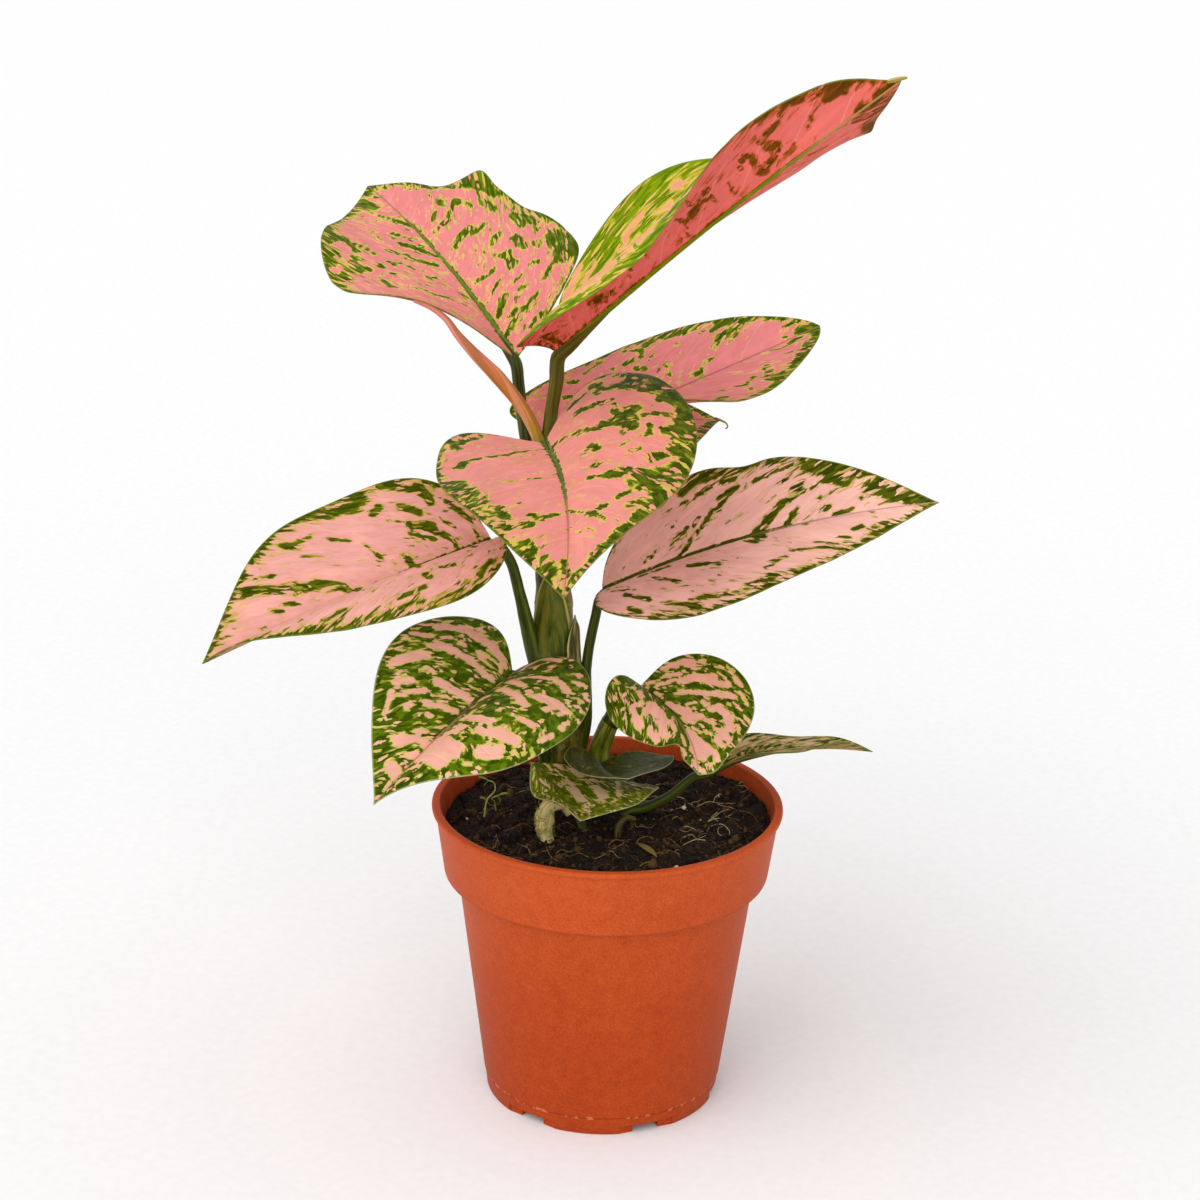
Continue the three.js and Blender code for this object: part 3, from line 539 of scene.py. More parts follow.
def build_blade(name, blade, material, style):
    """One blade as a thin closed skin, with its places and pattern as fields for the paint."""
    u = np.linspace(0, 1, ROWS + 1) ** 1.2
    u[0], u[-1] = 1e-5, 1 - 1e-5
    v = blade.columns(u)
    u = np.repeat(u[:, None], v.shape[1], axis=1)
    point, normal = blade.at(u, v)
    width, across = blade.width(u, v), np.abs(v)
    s, d, edge = u * blade.length, v * width, (1 - across) * width
    seed = sum(map(ord, name)) % 97

    # Small uneven waves near the edge, and the leaf tissue bulging a little between side veins.
    ripple = 0.35 * fractal(np.stack([s / 9, d / 14, 0 * s + seed], -1), 2, seed) * across**2
    ripple *= np.clip(4 * u * (1 - u), 0, 1)
    lean, curve = [by_side(d, pair) for pair in vein_slopes(blade.leaf, style)]
    vein = np.cos(TURN * SIDE_VEINS * (s - lean * np.abs(d) - curve * d * d) / blade.length)
    quilt = -0.1 * np.clip(vein, 0, 1) ** 8 * np.clip(4 * across * (1 - across), 0, 1)
    point = point + normal * (ripple + quilt)[..., None]

    # The upper face sinks to a groove over the midrib, and the lower face swells under it.
    half = HALF_RIM + (HALF_BLADE - HALF_RIM) * np.clip(edge / 1.2, 0, 1)
    groove = GROOVE_DEPTH * np.exp(-((d / GROOVE_WIDTH) ** 2)) * (1 - u) ** 0.4
    rib = RIB_HEIGHT * (1 - u) ** 0.75 * np.exp(-((d / (0.55 + 0.65 * (1 - u))) ** 2))
    top = point + normal * (half - groove)[..., None]
    low = point - normal * (half + rib)[..., None]

    bias = stroke_bias(name, blade, style, s, d)
    rim_green, rim_width, left_half_shade = style.upper_rim
    upper_bias = bias - rim_green * np.exp(-((edge / rim_width) ** 3)) * (v < 0)
    # Painted shade: the left half of the upper face is shifted to greener tones.
    upper_bias = upper_bias - left_half_shade * np.clip(v * 4, 0, 1)

    # The first and last row of either face are one point each.
    columns = v.shape[1]
    ids = np.arange(-1, ROWS)[:, None] * columns + np.arange(1, columns + 1)
    ids = np.clip(ids, 0, (ROWS - 1) * columns + 1)

    def flat(*layers):
        """The points of one face, or as many numbers for each, in the order of the ids."""
        grid = np.stack(layers, -1) if len(layers) > 1 else layers[0]
        return np.vstack([grid[0, COLUMNS], grid[1:-1].reshape(-1, 3), grid[-1, COLUMNS]])

    fields = {
        "leaf_place": np.vstack([flat(s, d, edge)] * 2),
        "leaf_uv": np.vstack([flat(u, v, bias), flat(u, v, upper_bias)]),
        "leaf_under": np.repeat([1, 0], ids.max() + 1),
    }
    form = np.vstack([flat(low), flat(top)]), sheet_faces(ids), fields
    add_piece(name + "_skin", form, material, style.slot, name + "_blade")


UNDERSIDE = ("4a3206", "6a3c0a", "8a4614", "a85226", "c45c42", "d8665a", "e0706a")
DULL_UNDERSIDE = ("343c08", "4e5612", "706c26", "8e7e42", "b08a5c", "bc8c74", "c49480")
TONE_PLACES = (0.08, 0.26, 0.39, 0.46, 0.52, 0.6, 0.95)
WARM_SHINE = (1, 0.97, 0.8, 1)


def leaf_paint(name, leaf, style, seed):
    """Variegated leaf: small cells of green and pink tissue, grouped into streaks that follow the
    side veins, with a green margin and midrib. A piece's own strokes come in as its bias."""
    paint = Paint(name, Specular_IOR_Level=0.03, Specular_Tint=WARM_SHINE)
    calc, times, centred, remap, mix = paint.math, paint.times, paint.centred, paint.remap, paint.mix
    s, d, edge = paint.parts(paint.attribute("leaf_place", "Vector"))
    u, _, bias = paint.parts(paint.attribute("leaf_uv", "Vector"))
    under = paint.attribute("leaf_under")

    # The pattern leans forward from the midrib, as the side veins do.
    slopes = vein_slopes(leaf, style)
    left, reach = calc("GREATER_THAN", d, 0.0), calc("ABSOLUTE", d)
    slope, curve = (times(left, pair[1] - pair[0], -pair[1]) for pair in slopes)
    vein_foot = times(reach, times(reach, curve, slope), s)
    bend = paint.noise(paint.join(times(s, 0.09), times(d, 0.09), seed), 1.0, 1.0)
    lean = times(bend, 9.0, vein_foot)
    jag = paint.noise(paint.join(lean, times(d, 0.6), seed + 5.0), 1.0, 2.0, 0.6)
    slant = math.hypot(1, sum(slopes[0]) / 2 + sum(slopes[1]) / 2 * 25)

    def along_veins(across_mm, along_mm, offset, foot=lean, depth=d):
        return paint.join(
            times(foot, 1 / (across_mm * slant), offset + 0.37 * seed),
            times(depth, slant / along_mm, 0.61 * seed),
            seed + offset,
        )

    big = paint.noise(along_veins(7.0, 20.0, 2.0), 1.0, 1.0)
    grid = along_veins(*style.cell, 8.0, times(jag, 2.4, lean), times(jag, -2.0, d))
    mosaic = paint.noise(paint.cells(grid, 1.0, "Position", "2D"), 0.5, 2.0, 0.65)
    lone, tint, _ = paint.parts(paint.cells(grid, 1.0, "Color", "2D"))
    smooth = paint.noise(along_veins(1.6, 4.5, 14.0), 1.0, 2.0, 0.6)
    fine = paint.noise(along_veins(0.4, 0.7, 21.0), 1.0, 1.0)

    # Where the leaf is green on the whole ...
    margin, margin_depth, margin_green = style.margin
    soft = centred(big, style.patch, calc("ADD", bias, 0.5 + style.pinkness))
    soft = centred(smooth, 0.6 * style.streak, soft)
    rib_near = calc("DIVIDE", reach, calc("SUBTRACT", 1.25, u))
    rib_share = remap(centred(mosaic, 0.6, rib_near), 1.5, 0.8, 0.0, style.rib_green)
    for greener in (
        remap(centred(smooth, 4.0, edge), 0.4, margin, 0.45, 0.0),
        remap(edge, 0.0, margin_depth, margin_green, 0.0),
        times(rib_share, remap(u, style.rib_reach, style.rib_reach - 0.2)),
    ):
        soft = calc("SUBTRACT", soft, greener)

    # ... and in each of its cells. Cells among green ones turn yellow rather than pink, and green
    # tissue is never even.
    value = times(bias, times(lone, 0.8, -0.35), soft)
    for pattern, gain in ((mosaic, style.streak), (lone, style.speckle), (fine, 0.14)):
        value = centred(pattern, gain, value)
    value = calc("MINIMUM", value, remap(soft, 0.5, 0.6, 0.47, 0.8))
    value = calc("MAXIMUM", value, times(lone, 0.26, 0.1))
    island = times(remap(tint, 0.76, 0.82, 0.0, style.islands), remap(value, 0.46, 0.36))
    value = calc("ADD", value, island)
    color = mix(under, paint.ramp(value, TONE_PLACES, style.tones), paint.ramp(value, TONE_PLACES, style.under_tones))

    # Slow changes of tone, faint side veins, the midrib and the thin light rim.
    cloud = paint.noise(along_veins(2.5, 14.0, 33.0), 1.0, 3.0, 0.6)
    color = mix(remap(cloud, 0.35, 0.75, 0.0, 0.3), color, mix(1.0, color, (0.82, 0.7, 0.62), "MULTIPLY"))
    light = paint.noise(along_veins(6.0, 9.0, 43.0), 1.0, 2.0, 0.6)
    color = mix(remap(light, 0.4, 0.75, 0.0, 0.6), color, mix(1.0, color, (1.22, 1.25, 1.2), "MULTIPLY"))
    vein = remap(calc("COSINE", times(vein_foot, TURN * SIDE_VEINS / leaf["size"][0])), 0.97, 1.0)
    color = mix(times(vein, remap(value, 0.5, 0.65, 0.0, 0.12)), color, "f0d0b4")
    green, brown = style.rib_color or style.tones[1], tuple(0.6 * c for c in rgb(style.tones[5]))
    places = (0.0, max(style.rib_reach - 0.2, 0.03), min(style.rib_reach + 0.05, 0.97))
    color = mix(remap(rib_near, 1.0, 0.6, 0.0, 0.8), color, paint.ramp(u, places, (green, green, brown)))
    color = mix(remap(edge, 0.4, 0.1, 0.0, 0.6), color, style.rim_color)
    height = times(smooth, 0.5, times(vein, -0.8, times(fine, 0.35)))
    return paint.finish(color, centred(smooth, 0.25, style.sheen), height, 0.3, 0.0003)


def limb_paint(name, tones, seed, streak=1.0, gloss=0.42, spots=0.0, spot_color="b8b06a", rim_color=None):
    """Stem or stalk skin: streaks along the length over a slow change of tone."""
    paint = Paint(name, Specular_IOR_Level=0.18, Specular_Tint=WARM_SHINE)
    _, turn, length = paint.parts(paint.attribute("limb", "Vector"))
    skin = paint.around(turn, 2.6, paint.times(length, 0.09, seed))
    lines = paint.noise(skin, 1.6, 3.0, 0.6)
    slow = paint.noise(skin, 0.45, 1.0)
    value = paint.centred(lines, 1.2 * streak, paint.centred(slow, 1.3, 0.5))
    color = paint.ramp(value, (0.15, 0.5, 0.85), tones)
    grain = paint.noise(paint.place(), 900.0)
    if spots:
        dots = paint.noise(paint.place(), 420.0, 1.0)
        color = paint.mix(paint.remap(dots, 0.62, 0.7, 0.0, spots), color, spot_color)
    if rim_color:
        rim = paint.remap(paint.times(lines, 0.16, paint.attribute("rim")), 0.86, 0.98)
        color = paint.mix(rim, color, rim_color)
    rough = paint.times(lines, 0.25, gloss - 0.1)
    return paint.finish(color, rough, paint.times(grain, 0.3, lines), 0.4, 0.0004)


ROSE = ("364404", "506206", "788818", "c8b650", "dcac74", "da7d7c", "e08886")
SUNLIT = ("4c6a02", "6c8804", "8e9e12", "b8b034", "d8bc5c", "e4b070", "e48a80")
CORAL = ("303c04", "465606", "6c7a14", "ccbc4e", "dca472", "de8a80", "e4928a")
BLUSH = ("303c02", "465206", "68700e", "b8a048", "d8a87e", "dc9a90", "e6aaa0")
PALE = ("2c3602", "444e06", "666a12", "bca45a", "e2b898", "eab2a4", "f0beb2")
MIXED = ("304004", "486006", "6a8210", "ccc05c", "e8c48e", "ecae98", "f2baa8")
GREEN = ("2c380a", "424e0e", "5e681a", "948e44", "c4b070", "d2b494", "dabca0")
# SHADE and LIME are brightened, as painted light, for two low leaves that lie in the shade of the leaves above.
SHADE = ("343e0c", "4a5614", "626a1e", "80823a", "a09a5c", "b8ac7c", "c0b084")
LIME = ("4c5c06", "6e840c", "98a822", "dcd066", "f4e0a0", "fcd6b0", "fcdab6")

# Where each leaf is greener (-) or pinker (+) than its noise alone makes it: two ends in five
# hundredths of u and v, half the width in tenths of a millimetre, strength in twentieths.
STROKES = {
    "leaf_mid_right": """
        106 72 132 131 8 -16  156 128 178 181 12 -18  179 9 191 84 11 -14  150 231 157 244 7 -14
        189 184 193 222 9 -16  199 141 206 181 7 -14  206 188 213 244 10 -16  221 256 228 322 12 -18
        219 328 236 356 18 -16  158 353 167 347 7 -14  177 359 199 391 8 -14  155 419 176 462 22 -18
        176 462 196 434 15 -14  194 491 221 497 20 -16  212 413 228 422 12 -14  251 359 252 359 8 -10
        263 375 304 453 11 -15  257 488 293 491 15 -12  303 338 308 350 7 -12  297 34 302 -44 20 -18
        306 59 311 122 22 -18  311 122 317 184 18 -16  316 200 332 247 13 -16  329 234 329 316 20 -16
        335 28 343 144 9 -14  337 259 353 303 10 -12  340 438 389 403 20 -11  357 359 390 356 13 -12
        328 459 348 456 20 -14  365 213 367 213 8 -14  377 109 382 113 12 -14  393 25 412 69 9 -15
        414 206 415 206 7 -12  419 338 458 244 20 -9  464 206 492 -97 20 -9  281 -41 294 -106 8 -12
        192 -131 237 -203 13 -15  80 -275 120 -347 13 -16  42 -197 97 -231 6 -10  131 -144 172 -253 9 -14
        102 -62 162 -62 15 -12  140 -384 184 -444 13 -12  174 -400 241 -450 13 -9  248 -441 291 -438 15 -10
        286 -359 308 -338 7 -12  296 -325 319 -328 8 -12  326 -288 368 -381 8 -10  358 -278 380 -381 5 -10
        385 -316 393 -356 9 -12  403 -284 415 -262 9 -12  423 -356 438 -350 9 -14  430 -488 409 -500 18 -10
        87 -412 101 -444 15 -12
    """,
    "leaf_mid_left": """
        77 181 92 -103 13 -14  92 -103 117 -175 15 -15  110 -191 140 -222 22 -18  121 -112 153 -178 11 -14
        115 -291 132 -338 15 -18  70 -169 85 -225 8 -14  35 209 31 -266 11 -12  31 -266 60 -353 13 -13
        178 -350 162 -378 13 -16  85 -359 91 -438 20 -16  101 -425 137 -484 10 -16  168 -300 152 -262 6 -10
        209 -469 174 -450 30 -8  189 -422 242 -475 25 -8  258 -322 237 -272 12 -14  226 -234 224 -109 10 -12
        291 -394 277 -381 9 -14  312 -416 298 -384 15 -12  191 156 189 -78 16 -12  291 163 303 -84 11 -16
        304 -78 323 -156 16 -18  326 -144 363 -241 18 -14  372 -288 392 -388 18 -16  373 -394 357 -347 10 -14
        379 -156 369 -122 9 -14  395 -166 389 -125 10 -14  136 281 162 256 10 -12  184 309 189 272 13 -14
        196 359 236 381 13 -12  316 350 343 394 12 -12  343 494 369 500 20 -10  105 431 76 397 10 -10
        207 431 269 500 20 -9  174 -241 283 -231 60 5  319 -294 375 -500 50 4
    """,
    "leaf_centre": """
        77 37 156 191 11 -17  148 194 160 216 16 -16  31 275 48 341 9 -14  46 400 63 413 12 -14
        70 341 90 409 26 -15  86 400 117 438 42 -15  116 419 156 466 42 -15  150 469 204 475 40 -15
        204 469 252 488 30 -12  66 194 97 269 10 -15  100 266 110 303 10 -14  123 288 155 256 13 -15
        153 309 187 291 20 -17  168 250 191 288 18 -16  145 306 157 344 12 -14  174 344 193 469 12 -13
        197 347 218 334 9 -15  181 497 258 500 30 -12  213 444 247 428 22 -14  214 391 213 438 16 -14
        257 344 257 397 13 -15  267 366 251 403 9 -12  188 141 207 153 14 -15  223 247 221 259 9 -14
        243 278 241 306 11 -15  246 125 251 156 7 -13  273 103 288 203 9 -15  286 200 293 344 20 -17
        301 331 288 472 32 -11  283 422 263 488 25 -10  321 366 317 409 18 -13  362 144 350 231 10 -13
        358 141 380 266 8 -12  331 -3 358 141 7 -12  303 44 334 178 6 -12  340 266 331 309 10 -13
        355 350 348 397 16 -11  373 459 358 472 17 -13  448 500 404 500 26 -10  339 472 383 497 30 -10
        111 -209 127 -378 9 -12  111 -209 68 -25 6 -12  147 -400 131 -388 17 -14  219 -91 219 -150 7 -14
        335 -56 339 -128 10 -15  347 -169 333 -212 12 -12  357 -244 360 -412 18 -13  309 -341 337 -359 20 -12
        398 -366 417 -400 20 -15  297 -431 321 -359 30 -8  209 -441 291 -422 36 -10  40 -428 86 -484 20 -9
        311 -294 298 -228 6 -10  438 -37 460 -12 15 -13  430 -288 453 -281 20 -10  224 -262 222 -175 5 -9
        462 453 475 263 16 -12  148 169 73 41 5 4  256 -194 256 -191 60 4  314 169 314 172 60 5  68 409 83 431 16 14
        130 372 147 406 11 12  152 453 160 466 10 8  58 294 133 378 16 9  169 403 179 447 14 10  228 356 223 500 3 2
    """,
    "leaf_upper_right": """
        297 456 327 447 19 -17  326 441 344 441 6 -12  345 388 352 406 6 -13  264 428 278 447 12 -15
        231 450 256 409 7 -12  257 403 254 344 9 -15  261 284 273 331 6 -12  227 334 239 338 12 -15
        242 266 251 241 16 -17  309 344 314 347 9 -10  287 156 287 113 8 -13  284 194 287 181 5 -10
        207 334 208 322 8 -12  166 397 196 444 9 -13  140 378 150 356 14 -15  117 269 125 247 17 -14
        364 388 380 441 14 -17  380 441 398 456 15 -14  362 228 372 303 15 -19  372 303 390 338 20 -19
        393 344 408 434 11 -17  404 438 429 472 10 -15  349 234 354 231 4 -10  354 334 359 344 5 -10
        344 113 354 128 10 -15  334 78 339 94 7 -13  324 47 333 53 8 -13  430 -37 438 -116 5 -13
        440 -91 458 -103 10 -13  459 -62 469 -97 7 -13  452 84 458 69 5 -10  458 284 473 359 5 -12
        454 431 463 456 5 -10  428 -253 440 -291 4 -10  432 -381 439 -409 7 -12  479 75 495 -206 25 -13
        467 -431 417 -500 24 -16  408 -500 353 -500 20 -12  392 -256 365 -419 14 -13  373 -438 402 -500 22 -16
        339 -316 362 -288 8 -15  326 -291 337 -328 7 -13  323 -406 337 -384 6 -10  304 -266 312 -284 6 -10
        227 -500 284 -369 14 -17  313 -488 333 -497 14 -14  375 0 379 -16 4 -10  384 -12 392 -37 4 -10
        343 284 390 22 60 4  424 159 425 156 50 4  287 -191 347 -241 40 5
    """,
    "leaf_top_right": """
        286 -109 296 -141 18 -17  304 -188 312 -203 11 -16  302 -156 309 -134 10 -16  314 -144 313 -103 8 -15
        293 -500 291 -184 5 -10  334 -141 333 -69 11 -11  349 -178 355 -238 7 -15  357 -250 364 -219 8 -17
        364 -219 364 -87 10 -19  364 -97 369 -72 17 -19  370 -81 382 -116 12 -18  375 -281 380 -238 10 -15
        380 -222 387 -172 17 -19  384 -312 393 -341 15 -15  380 -472 387 -500 10 -12  400 -406 404 -466 11 -17
        404 -475 419 -450 13 -16  420 -166 425 -250 8 -13  440 -475 458 -500 22 -19  447 -344 457 -394 22 -15
        459 -484 458 -325 9 -14  440 -325 448 -312 8 -12  477 -406 482 -459 6 -10  480 -56 489 -94 16 -15
        464 16 475 188 20 -17  453 172 458 331 22 -19  443 400 427 491 20 -19  453 6 462 -3 5 -11
        272 -156 278 -109 9 -15  277 -97 269 -28 9 -15  228 -478 216 -69 7 -13  206 -481 191 -75 6 -12
        120 -91 135 -84 19 -15  132 -75 151 -56 14 -13  38 -225 25 -109 18 -16  20 -281 1 -384 25 -11
        3 0 108 0 9 -10  412 -188 449 -147 50 5  318 -84 199 -50 60 4  165 450 166 447 150 -10
        103 388 105 381 130 -9  157 500 158 500 100 -12  179 475 181 472 80 -12  105 500 105 500 90 -11
        47 447 80 472 15 15  76 378 98 400 12 14  141 366 165 400 20 15  111 328 128 341 9 12  178 372 198 375 12 11
        201 434 209 431 13 12  113 478 130 475 10 8  153 453 155 450 9 11  107 275 132 291 7 10
        231 -409 181 322 9 12  171 250 253 -491 7 10  45 344 174 -447 8 10  131 328 160 338 10 10
        91 484 100 494 10 10  174 500 194 491 30 -12
    """,
    "leaf_top_left": """
        357 500 332 453 26 -17  323 478 271 484 20 -17  311 459 312 453 10 14  281 459 281 456 14 12
        251 481 253 462 13 12  236 456 229 447 15 -12  344 413 302 359 11 -17  321 419 282 394 18 10
        286 384 248 391 15 -17  263 381 252 350 17 -17  301 425 281 425 6 -12  324 341 296 284 7 -14
        464 394 447 178 20 -17  479 -338 472 -259 6 -10  460 -462 452 -412 7 -10  447 -341 439 -319 4 -10
        439 -478 424 -447 12 -14  415 -334 403 -247 4 -10  399 -428 389 -397 8 -12  378 -438 365 -459 22 -19
        367 -419 357 -419 15 -17  355 -403 337 -356 6 -13  353 -447 337 -456 12 -17  337 -356 318 -375 17 -9
        349 -316 339 -300 7 -11  383 -247 378 -247 11 -15  367 -281 360 -288 10 -15  349 -156 363 -250 8 -16
        345 -75 349 -141 9 -16  367 -112 374 -153 8 -13  308 -134 309 -200 15 -17  296 -87 304 -131 12 -16
        296 -184 297 -222 10 -10  299 -253 299 -272 8 -14  256 -212 267 -256 11 -15  223 -200 219 -231 14 -15
        214 -219 191 -206 16 -16  239 -303 209 -300 16 -13  202 -350 189 -347 13 -12  232 -397 223 -403 10 -12
        284 -397 257 -381 19 -16  269 -419 246 -431 20 -15  193 -431 127 -425 30 -14  117 -303 138 -381 10 -16
        167 -281 158 -309 10 -15  157 -172 160 -212 8 -13  208 -112 211 -137 9 -14  214 -44 207 -100 11 -15
        137 -184 133 -212 9 -10  167 -50 183 -125 6 -14  120 -44 145 -103 12 -16  101 -103 92 -166 14 -17
        97 -212 98 -250 11 -14  45 -241 48 -322 16 -15  70 -28 83 -97 18 -13  166 -6 161 -31 6 -12
        400 75 378 -6 8 -16  420 166 400 75 5 -12  415 244 399 169 5 -10  374 263 342 216 5 -10
        368 153 349 72 5 -10  334 131 318 62 11 -16  316 66 299 19 9 -15  312 209 297 150 12 -16
        291 147 274 53 12 -16  278 238 271 222 9 -13  274 200 252 125 4 -11  239 125 232 84 7 -13
        268 294 259 291 7 -12  243 272 244 231 4 -10  239 312 229 319 6 -10  217 319 199 319 14 -15
        202 250 191 203 10 -13  183 206 173 134 11 -11  438 -125 437 -131 70 4  274 -119 191 -250 5 -6
    """,
    "leaf_lower_left": """
        147 -447 98 -400 15 15  196 -472 167 -403 11 14  238 -500 211 -469 10 10  95 -384 32 -141 19 16
        103 -219 60 -84 20 12  171 -353 130 -203 19 16  130 -203 112 -22 17 16  272 -462 207 -344 19 16
        236 -206 199 47 22 17  293 -191 264 -37 15 14  321 -275 319 -269 17 15  311 -137 309 -134 13 13
        355 -403 314 -397 14 13  294 -381 269 -312 13 13  309 -338 269 -228 12 12  360 -3 363 259 42 17
        398 -19 394 297 30 17  335 59 314 128 18 16  383 -228 355 -106 30 16  430 -228 442 -66 24 16
        282 69 282 222 20 16  307 228 283 384 22 16  340 359 321 400 25 16  168 88 208 259 17 17
        125 91 151 178 15 15  112 163 106 306 11 15  106 306 122 378 13 16  173 269 161 378 20 16
        191 341 167 363 14 14  176 403 160 419 12 14  193 450 192 453 12 14  252 450 218 456 12 15
        244 312 238 366 15 14  13 481 46 388 9 12  96 406 95 434 9 13  92 434 95 475 8 10  125 447 123 453 9 10
        143 400 142 403 9 12  56 178 57 216 6 10  126 -319 120 -294 12 12  187 -369 182 -347 10 13
        222 -278 226 -244 10 12  427 66 415 188 10 12  478 -87 452 -72 9 12  469 194 453 222 7 12
        373 413 344 462 10 8  304 444 296 441 7 12  140 -400 110 -347 10 -12  131 -275 110 -225 14 -10
        191 -228 160 -125 13 -10  162 -119 118 -22 9 -16  87 -175 67 -103 11 -16  146 -156 135 -116 5 -12
        353 -78 349 -19 14 -18  364 -191 360 -137 8 -14  418 -97 394 31 10 -14  398 -178 390 -103 6 -14
        226 -153 226 -141 6 -16  294 194 299 259 6 -16  219 -44 278 213 3 -2  338 191 342 284 20 -8
        213 81 254 194 22 -10  261 -500 357 -459 30 -7  360 -456 470 -453 30 -7  482 -259 427 500 24 -6
        424 500 327 500 26 -7  322 500 223 500 30 -7
    """,
    "leaf_lower_right": """
        35 381 76 403 13 14  76 403 95 397 21 16  58 216 93 281 11 14  71 113 102 209 12 14  122 222 135 303 21 16
        137 297 163 356 21 16  172 325 202 391 17 16  148 138 173 191 13 14  173 191 196 228 16 16
        201 241 218 309 16 16  228 341 239 381 18 16  192 453 221 459 15 14  238 431 279 459 10 14
        108 422 111 422 13 12  133 441 153 450 8 10  172 484 173 488 9 10  95 44 128 47 10 12  28 134 41 163 13 12
        110 -291 116 -250 15 15  141 -350 131 -319 11 12  146 -219 178 -225 14 15  151 -438 174 -450 8 12
        188 -391 192 -384 12 12  173 -344 188 -347 6 10  224 -434 231 -416 12 12  207 -319 211 -275 21 16
        213 -334 258 -366 17 16  258 -366 298 -397 22 16  254 -281 224 -194 22 16  234 -206 268 -181 22 16
        274 -234 314 -206 26 17  312 -247 360 -306 24 17  328 -366 378 -431 20 14  314 -147 349 -175 15 14
        183 31 244 62 19 17  234 72 276 113 26 17  276 59 299 81 17 16  276 113 288 172 17 14  302 175 322 225 12 14
        218 113 222 178 8 12  229 209 244 222 14 15  268 234 262 291 16 16  268 288 309 325 20 16
        309 325 350 350 20 16  339 253 375 316 22 16  380 247 402 331 16 16  352 25 394 25 26 17
        383 53 414 156 30 18  429 19 429 78 36 18  462 -122 484 16 17 17  425 -500 442 -403 17 14
        372 -119 408 -184 10 10  422 269 447 434 13 14  344 150 353 172 10 10  340 403 367 447 11 12
        399 391 374 388 10 9  332 466 332 472 9 10  232 -316 244 -316 10 -16  251 116 266 141 5 -14
        294 -262 302 -247 6 -16  278 191 301 272 10 -16  334 244 331 281 9 -14  323 -447 353 -428 16 6
        77 -441 133 -462 32 -9  160 -466 242 -481 30 -9  76 -359 120 -297 24 -10  268 -466 343 -500 24 -8
        163 500 214 491 22 -8  221 491 286 484 22 -8  292 484 352 500 22 -8  357 500 412 500 24 -7
    """,
    "leaf_low_front": """
        216 -462 184 -431 8 12  22 147 77 66 9 13  25 328 72 181 13 14  246 -322 254 -244 17 17
        71 272 133 219 16 17  186 34 186 41 8 10  165 94 201 103 16 16  223 88 331 97 20 19  160 200 171 225 14 16
        161 263 189 266 14 16  228 216 327 222 22 19  339 200 367 219 12 14  125 419 152 403 12 14
        177 394 334 312 12 14  377 281 349 309 10 10  370 100 425 116 14 14  344 331 321 413 18 4
        178 156 251 184 8 -12
    """,
    "leaf_stem_base": """
        333 312 292 359 7 11  68 97 306 225 12 4  278 -428 335 -200 20 4
    """,
    "leaf_back_right": """
        450 500 463 312 13 -14  465 500 480 500 6 -10  389 -416 464 -488 16 -10
    """,
}
